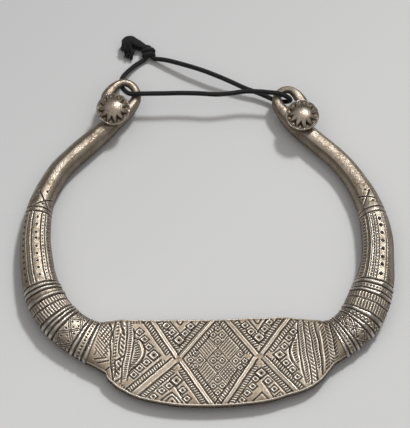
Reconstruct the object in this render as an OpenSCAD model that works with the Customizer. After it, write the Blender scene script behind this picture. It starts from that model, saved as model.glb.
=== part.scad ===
// Rigid silver neck collar: a forged round bar that is drawn out to a wire loop
// at each end and hammered flat into an ornamented plate at the front.
// A black cord runs through both loops and is tied in a knot.
// All sizes are in millimetres. The collar lies on the plane z = 0 with its
// plate towards -Y and its loops towards +Y.

/* [Collar] */
// Width across the two arms
collar_w = 179; // [170:1:190]
// Depth from the plate's edge to the top of the loops
collar_d = 171; // [163:1:180]
// Thickness of the front plate
plate_t = 4.6; // [3.8:0.1:5.4]
// Height of the middle of the plate above the surface it lies on
plate_z = 5.6; // [5:0.1:6.4]
// Fullness of the arms against the measured one
arm_fullness = 1; // [0.92:0.02:1.08]

/* [Relief] */
// Height of the rings around the arms
ring_h = 0.4; // [0.2:0.05:0.6]
// Half of a ring's width along the arm
ring_half_w = 0.9; // [0.6:0.1:1]
// Height of the plate's ribs and small squares
rib_h = 0.5; // [0.3:0.05:0.7]
// Width of the ribs that cross on the plate
rib_w = 3; // [2:0.2:3.6]
// Side of the small raised squares
square_w = 2.6; // [1.8:0.2:3]

/* [Buttons] */
// Radius of a button's rim
button_r = 8.1; // [7.4:0.1:8.4]
// Thickness of a button's rim
button_rim = 1.1; // [0.8:0.1:1.3]
// Height of the dome above the rim
dome_h = 3.2; // [2.4:0.1:3.8]
// Number of chased petals around the dome
petals = 11; // [8:1:14]

/* [Cord] */
// Diameter of the tie cord
cord_d = 2.3; // [1.8:0.1:2.6]
// Distance between the rings of the cord's tube along its route
cord_step = 4; // [3:0.5:6]

/* [Hidden] */

silver = "#b3aa9c";
black_cord = "#1c1b1c";

// Nominal sizes that the tables below were measured for
nominal_w = 179;
nominal_d = 171;
nominal_plate_t = 4.6;
side_scale = collar_w / nominal_w;
depth_scale = collar_d / nominal_d;

// From the tables' own origin to the middle of the collar's box, and up onto
// the rings that the collar lies on
OFFSET = [0.44, 0.04, ring_h];

SIDES = 18;

// The collar from the tip under the left button to the tip under the right one.
// Columns: x, y, height of the centre, half width, half thickness, squareness.
COLLAR = [
    [-45.4, 66.4, 11.6, 1.3, 0.7, 2],
    [-47.4, 68.6, 11.4, 2.3, 1.0, 2],
    [-48.8, 72.2, 11.1, 2.8, 1.4, 2],
    [-48.6, 75.8, 10.8, 2.7, 1.8, 2],
    [-46.4, 79.4, 10.4, 2.5, 2.0, 2],
    [-43.6, 82.3, 10.0, 2.1, 1.9, 2],
    [-40.5, 83.7, 9.7, 1.8, 1.8, 2],
    [-37.3, 82.7, 9.3, 1.9, 1.9, 2],
    [-35.1, 80.2, 8.8, 2.0, 2.0, 2],
    [-34.5, 76.8, 8.2, 2.3, 2.3, 2],
    [-36.0, 73.0, 7.6, 2.8, 2.8, 2],
    [-39.6, 69.0, 7.0, 3.6, 3.6, 2],
    [-45.0, 64.5, 6.2, 4.3, 4.3, 2],
    [-50.3, 59.7, 5.4, 4.9, 4.9, 2],
    [-55.1, 55.1, 5.1, 5.1, 5.1, 2],
    [-60.3, 50.3, 5.2, 5.2, 5.2, 2],
    [-65.7, 45.0, 5.2, 5.2, 5.2, 2],
    [-71.0, 38.9, 5.3, 5.3, 5.3, 2],
    [-75.7, 30.8, 5.5, 5.5, 5.5, 2],
    [-79.4, 22.0, 5.9, 5.9, 5.9, 2],
    [-81.6, 12.2, 6.6, 6.6, 6.5, 2],
    [-82.5, 1.2, 7.0, 7.3, 7.0, 2],
    [-82.0, -9.4, 7.3, 7.9, 7.3, 2],
    [-80.6, -19.8, 7.4, 8.5, 7.4, 2],
    [-77.6, -29.4, 7.4, 9.3, 7.4, 2],
    [-73.0, -37.9, 7.0, 9.6, 7.0, 2.1],
    [-67.2, -44.4, 6.5, 9.8, 6.4, 2.2],
    [-60.6, -49.2, 6.1, 10.2, 5.5, 2.4],
    [-54.2, -52.4, 5.9, 11.2, 4.5, 2.7],
    [-48.8, -53.9, 5.8, 12.8, 3.6, 3.2],
    [-43.8, -55.1, 5.7, 15.2, 2.9, 3.8],
    [-39.0, -57.0, 5.6, 17.8, 2.5, 4.5],
    [-33.2, -59.3, 5.6, 19.9, 2.3, 4.5],
    [-25.8, -61.4, 5.6, 21.3, 2.3, 4.5],
    [-13.4, -62.7, 5.6, 22.5, 2.3, 4.5],
    [0.0, -63.0, 5.6, 22.7, 2.3, 4.5],
    [13.4, -62.4, 5.6, 22.6, 2.3, 4.5],
    [25.2, -61.2, 5.6, 22.1, 2.3, 4.5],
    [34.0, -59.6, 5.6, 20.8, 2.3, 4.5],
    [40.1, -58.3, 5.6, 20.0, 2.3, 4.5],
    [45.6, -56.5, 5.6, 18.3, 2.5, 4.5],
    [50.4, -54.6, 5.7, 15.7, 2.9, 3.8],
    [54.8, -52.9, 5.8, 12.8, 3.6, 3.2],
    [59.0, -51.4, 5.9, 10.8, 4.5, 2.7],
    [63.2, -49.2, 6.1, 10.1, 5.5, 2.4],
    [68.0, -45.4, 6.5, 10.2, 6.4, 2.2],
    [72.6, -39.9, 7.0, 10.3, 7.0, 2.1],
    [76.9, -30.4, 7.4, 10.3, 7.4, 2],
    [79.7, -20.4, 7.4, 9.1, 7.4, 2],
    [81.1, -9.6, 7.3, 7.8, 7.3, 2],
    [81.0, 1.6, 7.1, 7.4, 7.1, 2],
    [79.2, 13.0, 6.7, 6.7, 6.7, 2],
    [75.6, 23.7, 6.0, 6.0, 6.0, 2],
    [71.2, 32.4, 5.5, 5.5, 5.5, 2],
    [66.2, 39.9, 5.2, 5.2, 5.2, 2],
    [60.4, 46.6, 5.2, 5.1, 5.1, 2],
    [54.0, 52.4, 5.2, 5.0, 5.0, 2],
    [47.6, 58.2, 5.2, 5.0, 5.0, 2],
    [42.0, 63.2, 5.6, 4.8, 4.8, 2],
    [37.9, 67.2, 6.3, 4.1, 4.1, 2],
    [34.7, 71.0, 7.1, 3.2, 3.2, 2],
    [33.2, 74.4, 7.8, 2.4, 2.4, 2],
    [33.8, 77.6, 8.5, 2.0, 2.0, 2],
    [36.2, 79.7, 9.0, 1.9, 1.9, 2],
    [39.4, 79.8, 9.5, 1.8, 1.8, 2],
    [42.3, 77.6, 9.9, 2.3, 2.0, 2],
    [44.6, 74.3, 10.2, 2.7, 1.8, 2],
    [46.1, 70.6, 10.7, 2.7, 1.4, 2],
    [46.1, 67.2, 11.2, 2.2, 1.0, 2],
    [44.6, 64.2, 11.7, 1.3, 0.7, 2]
];

// Raised rings on the arms, as places along the collar table
LEFT_RINGS = [19.6, 19.85, 23.57, 23.77, 24.16, 25.3, 25.5, 25.75, 27.05, 27.9];
RIGHT_RINGS = [43.7, 44.5, 45.6, 46.16, 47.2, 47.69, 51.05, 51.3];

// Ribs on the plate, each from a crossing to the rim. Columns: x, y, x, y
RIBS = [
    [-14.4, -61.1, -27.6, -42.6],
    [-14.4, -61.1, 1.2, -42.6],
    [-14.4, -61.1, -33, -77],
    [-14.4, -61.1, 0, -83],
    [24, -60.3, 10.4, -42.4],
    [24, -60.3, 36.8, -41.4],
    [24, -60.3, 10.4, -82.6],
    [24, -60.3, 41.4, -76.6]
];

// Middles of the groups of four squares in the central lozenge
LOZENGE = [[4.4, -62.2], [-5, -62.6], [13.8, -61.8], [4.4, -49.2], [4.4, -76.4]];

// Middles of the single squares in the triangles and at the plate's ends
SQUARES = [
    [-20, -44.6], [-17, -48.2], [-13.4, -51.6], [-10.6, -48.4], [-8, -44.6],
    [-26, -80.4], [-22, -77.4], [-18.2, -74.6], [-14.6, -71.2], [-11.6, -77.4], [-9.2, -81.6],
    [17.8, -43.8], [20.8, -47.6], [24, -50.8], [26.8, -46.2], [29, -42.8],
    [18.6, -79.4], [21, -75.4], [23.4, -71.8], [26, -68], [31.6, -77],
    [-32.4, -47.2], [-30, -51], [-28, -54.8], [-26, -59.4], [-29.4, -63.2], [-32.6, -65.8], [-35.6, -69.4],
    [40.4, -47.2], [38, -51], [36.2, -54.8], [34.2, -59.4], [37, -63.6], [40.2, -67.2], [42.4, -70.8]
];

// Upright bands at the plate's ends, as x at the middle
END_BANDS = [-44.8, -41.4, 45.4, 49];

// Buttons: x, y, height of the underside, tilt about X and about Y in degrees
LEFT_BUTTON = [-45.5, 67.8, 12.55, 4, -2];
RIGHT_BUTTON = [45.2, 64.5, 12.55, -2, 3];

// The cord from the knot, through the left loop, across, through the right
// loop and back to the knot
CORD_ROUTE = [
    [-31.2, 99.6, 1.3], [-34.8, 97, 1.6], [-37.9, 93.8, 2.5], [-40.4, 90.4, 3.8], [-41.7, 87.2, 5.1],
    [-41.7, 84.4, 6.1], [-40.9, 81.4, 7.5], [-39, 78.6, 9.4], [-37.2, 77, 11.2], [-34.6, 76.6, 12],
    [-31.6, 76.6, 12.2], [-27, 76.6, 12.3], [-20, 76.7, 12.3], [-12, 76.9, 12.2], [-4, 76.7, 12.2],
    [4, 76.2, 12.2], [11, 76.8, 12.2], [18, 77.8, 12.2], [24, 77.8, 12.1], [29, 77.4, 12],
    [33.2, 77, 11.9], [36.6, 76.4, 10.8], [39, 75.8, 8.8], [39.6, 75.8, 6.6], [38, 76, 4.6],
    [35, 76.6, 3.6], [31.6, 77.8, 3.1], [28, 79.5, 3.2], [23.4, 81.4, 3.6], [17.8, 83.3, 4.4],
    [10.6, 86.4, 5.5], [3.4, 89.4, 6.3], [-3.8, 92.4, 6.2], [-11, 95.2, 5.4], [-18.2, 98, 4],
    [-22, 99.3, 2.9], [-25.4, 100.2, 1.7]
];

// Balls whose hull is the knot. Columns: x, y, height, radius
KNOT = [[-28.8, 101.8, 2.1, 2.2], [-27.6, 103.4, 2.4, 2.5], [-30.2, 105.5, 2.4, 2.3]];

// The two frayed tails. Columns: x, y, height, half width, half thickness
UPPER_TAIL = [
    [-32.9, 106.9, 3.6, 1.7, 1.2],
    [-34.8, 108.2, 4.1, 2.4, 1.3],
    [-36.9, 109, 4.3, 2.8, 1.3],
    [-38.8, 108, 4.3, 2.7, 1.3],
    [-39.8, 105.8, 4, 2.4, 1.1],
    [-40, 103.4, 3.6, 1.7, 0.7]
];
LOWER_TAIL = [
    [-32.9, 105.6, 1.5, 1.3, 1],
    [-34.8, 106.6, 1.5, 1.7, 1],
    [-36.6, 106, 1.5, 2.1, 1],
    [-37.6, 103.6, 1.5, 2.2, 1],
    [-38.2, 100.8, 1.5, 1.7, 0.7]
];

// Helpers for numbers and lists
function unit(v) = v / norm(v);
function clamp01(t) = min(max(t, 0), 1);
function sorted(v) = len(v) < 2 ? v : let (
    middle = v[floor(len(v) / 2)],
    low = [for (a = v) if (a < middle) a],
    same = [for (a = v) if (a == middle) a],
    high = [for (a = v) if (a > middle) a]
) concat(sorted(low), same, sorted(high));

// A smooth curve through a table's rows, at place t along the row numbers
function row(table, i) = table[min(max(i, 0), len(table) - 1)];
function spline(table, t) = let (
    i = min(floor(t), len(table) - 2),
    f = t - i,
    a = row(table, i - 1),
    b = row(table, i),
    c = row(table, i + 1),
    d = row(table, i + 2)
) 0.5 * (2 * b + f * (c - a) + f * f * (2 * a - 5 * b + 4 * c - d) + f * f * f * (3 * b - a - 3 * c + d));
function place(v) = [v[0] * side_scale, v[1] * depth_scale, v[2]] + OFFSET;
function heading(table, t) = let (
    step = 0.05,
    before = place(spline(table, max(t - step, 0))),
    after = place(spline(table, min(t + step, len(table) - 1)))
) unit(after - before);

// One closed outline across a path: round for squareness 2, boxy above it
function power(v, e) = sign(v) * pow(abs(v), e);
function outline(middle, along, half_w, half_h, squareness, sides) = let (
    side = unit(cross(along, [0, 0, 1])),
    up = cross(side, along)
) [for (k = [0:sides - 1]) let (a = 360 * (k + 0.5) / sides)
    middle + side * half_w * power(cos(a), 2 / squareness) + up * half_h * power(sin(a), 2 / squareness)];

// A closed skin over a list of outlines that all have the same number of points
module skin(outlines) {
    n = len(outlines[0]);
    last = len(outlines) - 1;
    points = [for (o = outlines) each o];
    walls = [for (i = [0:last - 1], k = [0:n - 1]) let (j = (k + 1) % n) each [
        [i * n + k, i * n + j, (i + 1) * n + j],
        [i * n + k, (i + 1) * n + j, (i + 1) * n + k]
    ]];
    start = [[for (k = [n - 1:-1:0]) k]];
    end = [[for (k = [0:n - 1]) last * n + k]];
    polyhedron(points, concat(walls, start, end));
}

// The collar's section at place t, with the rings' bumps added
RINGS = concat(LEFT_RINGS, RIGHT_RINGS);
function ring_span(t) = let (
    here = place(spline(COLLAR, t)),
    there = place(spline(COLLAR, t + 0.1))
) ring_half_w / norm(there - here) * 0.1;
function bump(t) = max([for (r = RINGS) clamp01(2 * (1 - abs(t - r) / ring_span(r)))]) * ring_h;
function section(t) = let (
    s = spline(COLLAR, t),
    wide = 1 + (arm_fullness - 1) * clamp01((s[3] - 3) / 2) * clamp01(3 - s[5]),
    flat = clamp01(s[5] - 3),
    half_h = s[4] * (1 + flat * (plate_t / nominal_plate_t - 1)),
    z = s[2] + flat * (plate_z - s[2])
) outline(
    place([s[0], s[1], z]), heading(COLLAR, t),
    s[3] * wide + bump(t), half_h * min(wide, 1) + bump(t), s[5], SIDES
);

RING_PLACES = [for (r = RINGS, f = [-1, -0.5, 0.5, 1]) r + f * ring_span(r)];
function near_ring(t) = min([for (r = RINGS) abs(t - r) / ring_span(r)]) < 1.25;
BASE_PLACES = [for (i = [0:0.5:len(COLLAR) - 1]) if (!near_ring(i)) i];
COLLAR_PLACES = sorted(concat(BASE_PLACES, RING_PLACES));

plate_top = plate_z + plate_t / 2;

// One straight rib that stands on the plate
module rib(r) {
    hull() for (e = [0, 2])
        translate(place([r[e], r[e + 1], plate_top - 1]))
            cylinder(h = 1 + rib_h, d1 = rib_w + 0.6, d2 = rib_w - 1, $fn = 8);
}

// One small square with bevelled sides, turned onto its corner
module raised_square(x, y, w) {
    translate(place([x, y, plate_top - 1]))
        rotate(45) hull() {
            translate([0, 0, 0.5]) cube([w, w, 1], center = true);
            translate([0, 0, 0.5 + rib_h]) cube([w * 0.75, w * 0.75, 1], center = true);
        }
}

module plate_relief() {
    for (r = RIBS) rib(r);
    for (s = SQUARES) raised_square(s[0], s[1], square_w);
    for (g = LOZENGE, a = [0:90:270])
        raised_square(g[0] + 2.1 * cos(a), g[1] + 3.1 * sin(a), square_w * 0.85);
    for (x = END_BANDS)
        hull() for (y = [-50, -64])
            translate(place([x, y, plate_top - 1]))
                cylinder(h = 1 + rib_h * 0.8, d1 = 2.4, d2 = 1.4, $fn = 8);
}

module collar() {
    color(silver) union() {
        skin([for (t = COLLAR_PLACES) section(t)]);
        plate_relief();
    }
}

// A domed button with a thin rim and a ring of cuts that leaves pointed petals
module button(b) {
    dome_r = button_r - 0.7;
    ball_r = (dome_r * dome_r + dome_h * dome_h) / (2 * dome_h);
    cut_depth = 0.7;
    translate(place([b[0], b[1], b[2]]))
        rotate([b[3], b[4], 0])
            difference() {
                union() {
                    cylinder(h = button_rim, r = button_r, $fn = 64);
                    translate([0, 0, button_rim]) intersection() {
                        translate([0, 0, dome_h - ball_r]) sphere(r = ball_r, $fn = 64);
                        cylinder(h = dome_h + 1, r = dome_r, $fn = 64);
                    }
                }
                for (k = [0:petals - 1])
                    rotate(360 * k / petals)
                        translate([0, 0, button_rim + 0.3])
                            linear_extrude(height = dome_h)
                                polygon([
                                    [dome_r * 0.62, 0],
                                    [dome_r * 0.93, -dome_r * 0.16],
                                    [dome_r * 0.93, dome_r * 0.16]
                                ]);
            }
}

module left_button() { color(silver) button(LEFT_BUTTON); }

module right_button() { color(silver) button(RIGHT_BUTTON); }

// The cord's tube: one ring of eight points every step along the route
CORD_SIDES = 8;
cord_last = len(CORD_ROUTE) - 1;
CORD_PLACES = [for (i = [0:cord_last - 1]) let (
    span = norm(CORD_ROUTE[i + 1] - CORD_ROUTE[i]),
    parts = max(round(span / cord_step), 1)
) each [for (j = [0:parts - 1]) i + j / parts]];

module tie_cord() {
    color(black_cord) skin([for (t = concat(CORD_PLACES, [cord_last]))
        outline(place(spline(CORD_ROUTE, t)), heading(CORD_ROUTE, t), cord_d / 2, cord_d / 2, 2, CORD_SIDES)]);
}

module knot() {
    color(black_cord) hull() for (b = KNOT)
        translate(place([b[0], b[1], b[2]])) sphere(r = b[3], $fn = 20);
}

// A frayed tail: a short strand that spreads and flattens towards its end
module tail(table) {
    places = [for (i = [0:0.5:len(table) - 1]) i];
    color(black_cord) skin([for (t = places) let (s = spline(table, t))
        outline(place(s), heading(table, t), s[3], s[4], 2, 12)]);
}

module upper_tail() { tail(UPPER_TAIL); }

module lower_tail() { tail(LOWER_TAIL); }

collar();
left_button();
right_button();
tie_cord();
knot();
upper_tail();
lower_tail();
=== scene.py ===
"""Looks of a rigid silver neck collar with a chased front plate, domed buttons and a braided tie cord.

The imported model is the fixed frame. Pieces are worked out in millimetres in the frame's own axes and
are handed to Blender in metres.
"""

from __future__ import annotations

import logging
import math
import random
from dataclasses import dataclass, field
from enum import Enum

import bpy
import numpy as np
from mathutils import Euler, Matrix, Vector


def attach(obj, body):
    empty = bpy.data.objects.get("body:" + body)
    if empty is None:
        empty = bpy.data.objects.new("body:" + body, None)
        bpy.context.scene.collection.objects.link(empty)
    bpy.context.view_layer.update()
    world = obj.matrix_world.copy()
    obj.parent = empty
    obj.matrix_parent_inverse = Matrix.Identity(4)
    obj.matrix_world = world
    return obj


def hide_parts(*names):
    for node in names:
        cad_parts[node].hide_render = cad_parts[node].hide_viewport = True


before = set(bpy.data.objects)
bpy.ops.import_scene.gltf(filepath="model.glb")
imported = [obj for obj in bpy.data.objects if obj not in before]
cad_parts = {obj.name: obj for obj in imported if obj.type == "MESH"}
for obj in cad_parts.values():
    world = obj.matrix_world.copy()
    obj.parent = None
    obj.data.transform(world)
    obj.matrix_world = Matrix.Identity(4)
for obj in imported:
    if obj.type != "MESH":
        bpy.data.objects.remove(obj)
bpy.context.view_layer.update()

LOG = logging.getLogger("collar")
MM = 0.001
ROOT = "root"
SEED = 4236

Point = tuple[float, float]
Point3 = tuple[float, float, float]
Curve = tuple[Point, ...]
Curve3 = tuple[Point3, ...]
Colour = tuple[float, float, float, float]
Mesh = tuple[np.ndarray, list[list[int]]]
Tree = bpy.types.NodeTree
Socket = bpy.types.NodeSocket

# Where a hump ends
HUMP_END = 1.2

# How much finer each set of random waves is than the first, and about what the sets add up to
WAVE_SETS = (1.0, 1.7, 2.9, 4.3)
WAVE_TOTAL = 2.2

# From the section table's origin to the middle of the collar's box, in millimetres
OFFSET = (0.44, 0.04, 0.4)

# How the photograph sees the frame
MM_PER_PIXEL = 0.48
PHOTO_ELEVATION = 65.0
PHOTO_SIZE = (410, 428)
MIDDLE_PIXEL_X = 207.1
PLATE_PIXEL_Y = 241.8
PLATE_TOP = 8.3

# The collar from the tip under the left button to the tip under the right one.
# Columns: x, y, height of the centre, half width, half thickness, squareness.
COLLAR_ROWS = (
    (-45.4, 66.4, 11.6, 1.3, 0.7, 2),
    (-47.4, 68.6, 11.4, 2.3, 1.0, 2),
    (-48.8, 72.2, 11.1, 2.8, 1.4, 2),
    (-48.6, 75.8, 10.8, 2.7, 1.8, 2),
    (-46.4, 79.4, 10.4, 2.5, 2.0, 2),
    (-43.6, 82.3, 10.0, 2.1, 1.9, 2),
    (-40.5, 83.7, 9.7, 1.8, 1.8, 2),
    (-37.3, 82.7, 9.3, 1.9, 1.9, 2),
    (-35.1, 80.2, 8.8, 2.0, 2.0, 2),
    (-34.5, 76.8, 8.2, 2.3, 2.3, 2),
    (-36.0, 73.0, 7.6, 2.8, 2.8, 2),
    (-39.6, 69.0, 7.0, 3.6, 3.6, 2),
    (-45.0, 64.5, 6.2, 4.3, 4.3, 2),
    (-50.3, 59.7, 5.4, 4.9, 4.9, 2),
    (-55.1, 55.1, 5.1, 5.1, 5.1, 2),
    (-60.3, 50.3, 5.2, 5.2, 5.2, 2),
    (-65.7, 45.0, 5.2, 5.2, 5.2, 2),
    (-71.0, 38.9, 5.3, 5.3, 5.3, 2),
    (-75.7, 30.8, 5.5, 5.5, 5.5, 2),
    (-79.4, 22.0, 5.9, 5.9, 5.9, 2),
    (-81.6, 12.2, 6.6, 6.6, 6.5, 2),
    (-82.5, 1.2, 7.0, 7.3, 7.0, 2),
    (-82.0, -9.4, 7.3, 7.9, 7.3, 2),
    (-80.6, -19.8, 7.4, 8.5, 7.4, 2),
    (-77.6, -29.4, 7.4, 9.3, 7.4, 2),
    (-73.0, -37.9, 7.0, 9.6, 7.0, 2.1),
    (-67.2, -44.4, 6.5, 9.8, 6.4, 2.2),
    (-60.6, -49.2, 6.1, 10.2, 5.5, 2.4),
    (-54.2, -52.4, 5.9, 11.2, 4.5, 2.7),
    (-48.8, -53.9, 5.8, 12.8, 3.6, 3.2),
    (-43.8, -55.1, 5.7, 15.2, 2.9, 3.8),
    (-39.0, -57.0, 5.6, 17.8, 2.5, 4.5),
    (-33.2, -59.3, 5.6, 19.9, 2.3, 4.5),
    (-25.8, -61.4, 5.6, 21.3, 2.3, 4.5),
    (-13.4, -62.7, 5.6, 22.5, 2.3, 4.5),
    (0.0, -63.0, 5.6, 22.7, 2.3, 4.5),
    (13.4, -62.4, 5.6, 22.6, 2.3, 4.5),
    (25.2, -61.2, 5.6, 22.1, 2.3, 4.5),
    (34.0, -59.6, 5.6, 20.8, 2.3, 4.5),
    (40.1, -58.3, 5.6, 20.0, 2.3, 4.5),
    (45.6, -56.5, 5.6, 18.3, 2.5, 4.5),
    (50.4, -54.6, 5.7, 15.7, 2.9, 3.8),
    (54.8, -52.9, 5.8, 12.8, 3.6, 3.2),
    (59.0, -51.4, 5.9, 10.8, 4.5, 2.7),
    (63.2, -49.2, 6.1, 10.1, 5.5, 2.4),
    (68.0, -45.4, 6.5, 10.2, 6.4, 2.2),
    (72.6, -39.9, 7.0, 10.3, 7.0, 2.1),
    (76.9, -30.4, 7.4, 10.3, 7.4, 2),
    (79.7, -20.4, 7.4, 9.1, 7.4, 2),
    (81.1, -9.6, 7.3, 7.8, 7.3, 2),
    (81.0, 1.6, 7.1, 7.4, 7.1, 2),
    (79.2, 13.0, 6.7, 6.7, 6.7, 2),
    (75.6, 23.7, 6.0, 6.0, 6.0, 2),
    (71.2, 32.4, 5.5, 5.5, 5.5, 2),
    (66.2, 39.9, 5.2, 5.2, 5.2, 2),
    (60.4, 46.6, 5.2, 5.1, 5.1, 2),
    (54.0, 52.4, 5.2, 5.0, 5.0, 2),
    (47.6, 58.2, 5.2, 5.0, 5.0, 2),
    (42.0, 63.2, 5.6, 4.8, 4.8, 2),
    (37.9, 67.2, 6.3, 4.1, 4.1, 2),
    (34.7, 71.0, 7.1, 3.2, 3.2, 2),
    (33.2, 74.4, 7.8, 2.4, 2.4, 2),
    (33.8, 77.6, 8.5, 2.0, 2.0, 2),
    (36.2, 79.7, 9.0, 1.9, 1.9, 2),
    (39.4, 79.8, 9.5, 1.8, 1.8, 2),
    (42.3, 77.6, 9.9, 2.3, 2.0, 2),
    (44.6, 74.3, 10.2, 2.7, 1.8, 2),
    (46.1, 70.6, 10.7, 2.7, 1.4, 2),
    (46.1, 67.2, 11.2, 2.2, 1.0, 2),
    (44.6, 64.2, 11.7, 1.3, 0.7, 2),
)

# The cord's braid: bumps around it, and millimetres along it from bump to bump
BRAID_STRANDS = 4
BRAID_PITCH = 2.1

# The cord from the knot, through the left eye, across, through the right eye and back to the knot
CORD_POINTS = (
    (-31.2, 99.6, 1.3), (-34.8, 97, 1.6), (-37.9, 93.8, 2.5), (-40.4, 90.4, 3.8), (-41.7, 87.2, 5.1),
    (-41.7, 84.4, 6.1), (-40.9, 81.4, 7.5), (-39, 78.6, 9.4), (-37.2, 77, 11.2), (-34.6, 76.6, 12),
    (-31.6, 76.6, 12.2), (-27, 76.6, 12.3), (-20, 76.7, 12.3), (-12, 76.9, 12.2), (-4, 76.7, 12.2),
    (4, 76.2, 12.2), (11, 76.8, 12.2), (18, 77.8, 12.2), (24, 77.8, 12.1), (29, 77.4, 12),
    (33.2, 77, 11.9), (36.6, 76.4, 10.8), (39, 75.8, 8.8), (39.6, 75.8, 6.6), (38, 76, 4.6),
    (35, 76.6, 3.6), (31.6, 77.8, 3.1), (28, 79.5, 3.2), (23.4, 81.4, 3.6), (17.8, 83.3, 4.4),
    (10.6, 86.4, 5.5), (3.4, 89.4, 6.3), (-3.8, 92.4, 6.2), (-11, 95.2, 5.4), (-18.2, 98, 4),
    (-22, 99.3, 2.9), (-25.4, 100.2, 1.7),
)


def unit(vectors: np.ndarray) -> np.ndarray:
    """Vectors along the last axis, scaled to a length of 1."""
    return vectors / np.maximum(np.linalg.norm(vectors, axis=-1, keepdims=True), 1e-12)


def signed_power(values: np.ndarray, exponent: np.ndarray) -> np.ndarray:
    """The power of each value's size, with the value's own sign."""
    return np.sign(values) * np.abs(values) ** exponent


def hump(distance: np.ndarray) -> np.ndarray:
    """A smooth hump: 1 at distance 0, and 0 from distance 1.2 on."""
    return np.clip(1 - distance * distance / HUMP_END**2, 0, 1) ** 1.5


def step_up(distance: np.ndarray) -> np.ndarray:
    """A smooth step from 0 at distance 0 to 1 at distance 1."""
    t = np.clip(distance, 0, 1)
    return t * t * (3 - 2 * t)


def stroke_wave(turns: np.ndarray, sharpness: float = 2.2) -> np.ndarray:
    """An even row of strokes: 1 in the middle of each, and 0 halfway between two."""
    return (0.5 - 0.5 * np.cos(math.tau * turns)) ** sharpness


def from_nearest(places: np.ndarray, pitch: float) -> np.ndarray:
    """Distance from the nearest mark of an even row."""
    return ((places / pitch) % 1 - 0.5) * pitch


def run_along(line: np.ndarray) -> np.ndarray:
    """Distance along a chain of points, from its first point to each."""
    return np.concatenate([[0], np.cumsum(np.linalg.norm(np.diff(line, axis=0), axis=1))])


def columns_at(places: np.ndarray, known: np.ndarray, rows: np.ndarray) -> np.ndarray:
    """Points at other places of a line, from its points at known ones."""
    return np.stack([np.interp(places, known, rows[:, k]) for k in range(3)], axis=1)


def spline(rows: np.ndarray, places: np.ndarray) -> np.ndarray:
    """A smooth curve through a table's rows.

    Args:
        rows: The table, one row for each whole place.
        places: Places along the row numbers.

    Returns:
        One row for each place.
    """
    last = len(rows) - 1
    whole = np.clip(np.floor(places).astype(int), 0, last - 1)
    f = (places - whole)[:, None]
    a, b, c, d = (rows[np.clip(whole + k, 0, last)] for k in (-1, 0, 1, 2))
    return 0.5 * (
        2 * b + f * (c - a) + f**2 * (2 * a - 5 * b + 4 * c - d) + f**3 * (3 * b - a - 3 * c + d)
    )


def softened(values: np.ndarray, reach: int) -> np.ndarray:
    """A grid's running mean, closed around the sections and open at the two ends.

    Args:
        values: One row for each section.
        reach: Number of neighbours taken in on each side.

    Returns:
        The smoothed grid.
    """
    window = 2 * reach + 1
    around = sum(np.roll(values, shift, axis=1) for shift in range(-reach, reach + 1)) / window
    padded = np.pad(around, ((reach, reach), (0, 0)), mode="edge")
    return sum(padded[k : k + len(values)] for k in range(window)) / window


def waviness(x: np.ndarray, y: np.ndarray, size: float, seed: int) -> np.ndarray:
    """Smooth random waves between about -1 and 1.

    Args:
        x: First coordinate.
        y: Second coordinate, of the same shape.
        size: Width of the largest waves, in the coordinates' unit.
        seed: Start of the random directions.

    Returns:
        The waves' height at each point.
    """
    rng = random.Random(seed)
    total = np.zeros_like(x)
    for fineness in WAVE_SETS:
        angle = rng.uniform(0, math.tau)
        phase = rng.uniform(0, math.tau)
        turn = math.tau * fineness / size
        total = total + np.sin(turn * (x * math.cos(angle) + y * math.sin(angle)) + phase) / fineness
    return total / WAVE_TOTAL


def on_plate(pixel: Point) -> Point:
    """A place on the plate's top in millimetres, from a pixel of the photograph."""
    height_step = MM_PER_PIXEL / math.sin(math.radians(PHOTO_ELEVATION))
    return (pixel[0] - MIDDLE_PIXEL_X) * MM_PER_PIXEL, (PLATE_PIXEL_Y - pixel[1]) * height_step


def all_on_plate(pixels: Curve) -> Curve:
    """Places on the plate's top, from pixels of the photograph."""
    return tuple(on_plate(pixel) for pixel in pixels)


def curved(points: Curve) -> list[Point]:
    """A smooth curve through given points.

    Args:
        points: Two or more points.

    Returns:
        The curve's points, four to a stretch, or the two points themselves.
    """
    if len(points) < 3:
        return list(points)
    places = np.linspace(0, len(points) - 1, 4 * (len(points) - 1) + 1)
    return [tuple(p) for p in spline(np.array(points, float), places)]


def placed(name: str, data: bpy.types.ID) -> bpy.types.Object:
    """Adds an object to the scene.

    Args:
        name: Name of the object.
        data: Its mesh, camera or light.

    Returns:
        The new object.
    """
    made = bpy.data.objects.new(name, data)
    bpy.context.scene.collection.objects.link(made)
    return made


def mesh_piece(
    name: str,
    points: np.ndarray,
    faces: list[list[int]],
    flat_faces: int = 0,
    patina_and_shade: np.ndarray | None = None,
    crest: np.ndarray | None = None,
) -> bpy.types.Object:
    """A new object from points in millimetres.

    Args:
        name: Name of the piece.
        points: Its points, in the frame's axes.
        faces: Corner numbers of each face.
        flat_faces: How many of the last faces are shaded flat.
        patina_and_shade: Depth of the darkening at each point, from 0 to 1: tarnish in the hollows, and
            painted shade on down-facing sides and under the buttons' rims.
        crest: Polish of each point, from 0 to 1.

    Returns:
        The object, linked to the scene.
    """
    mesh = bpy.data.meshes.new(name)
    mesh.from_pydata((points.reshape(-1, 3) * MM).tolist(), [], faces)
    mesh.shade_smooth()
    for polygon in mesh.polygons[len(faces) - flat_faces :]:
        polygon.use_smooth = False
    for label, values in (("patina_and_shade", patina_and_shade), ("crest", crest)):
        if values is not None:
            layer = mesh.attributes.new(label, "FLOAT", "POINT")
            layer.data.foreach_set("value", values.ravel().astype(np.float32))
    mesh.update()
    return placed(name, mesh)


def dress_piece(
    piece: bpy.types.Object,
    material: bpy.types.Material,
    nodes: tuple[str, ...] = (),
) -> None:
    """Gives a piece its finish, its body and the nodes that it stands for.

    Args:
        piece: The piece.
        material: Its material.
        nodes: CAD nodes that it replaces.
    """
    piece.data.materials.append(material)
    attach(piece, ROOT)
    if nodes:
        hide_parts(*nodes)
    LOG.info("%s: %d faces", piece.name, len(piece.data.polygons))


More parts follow.
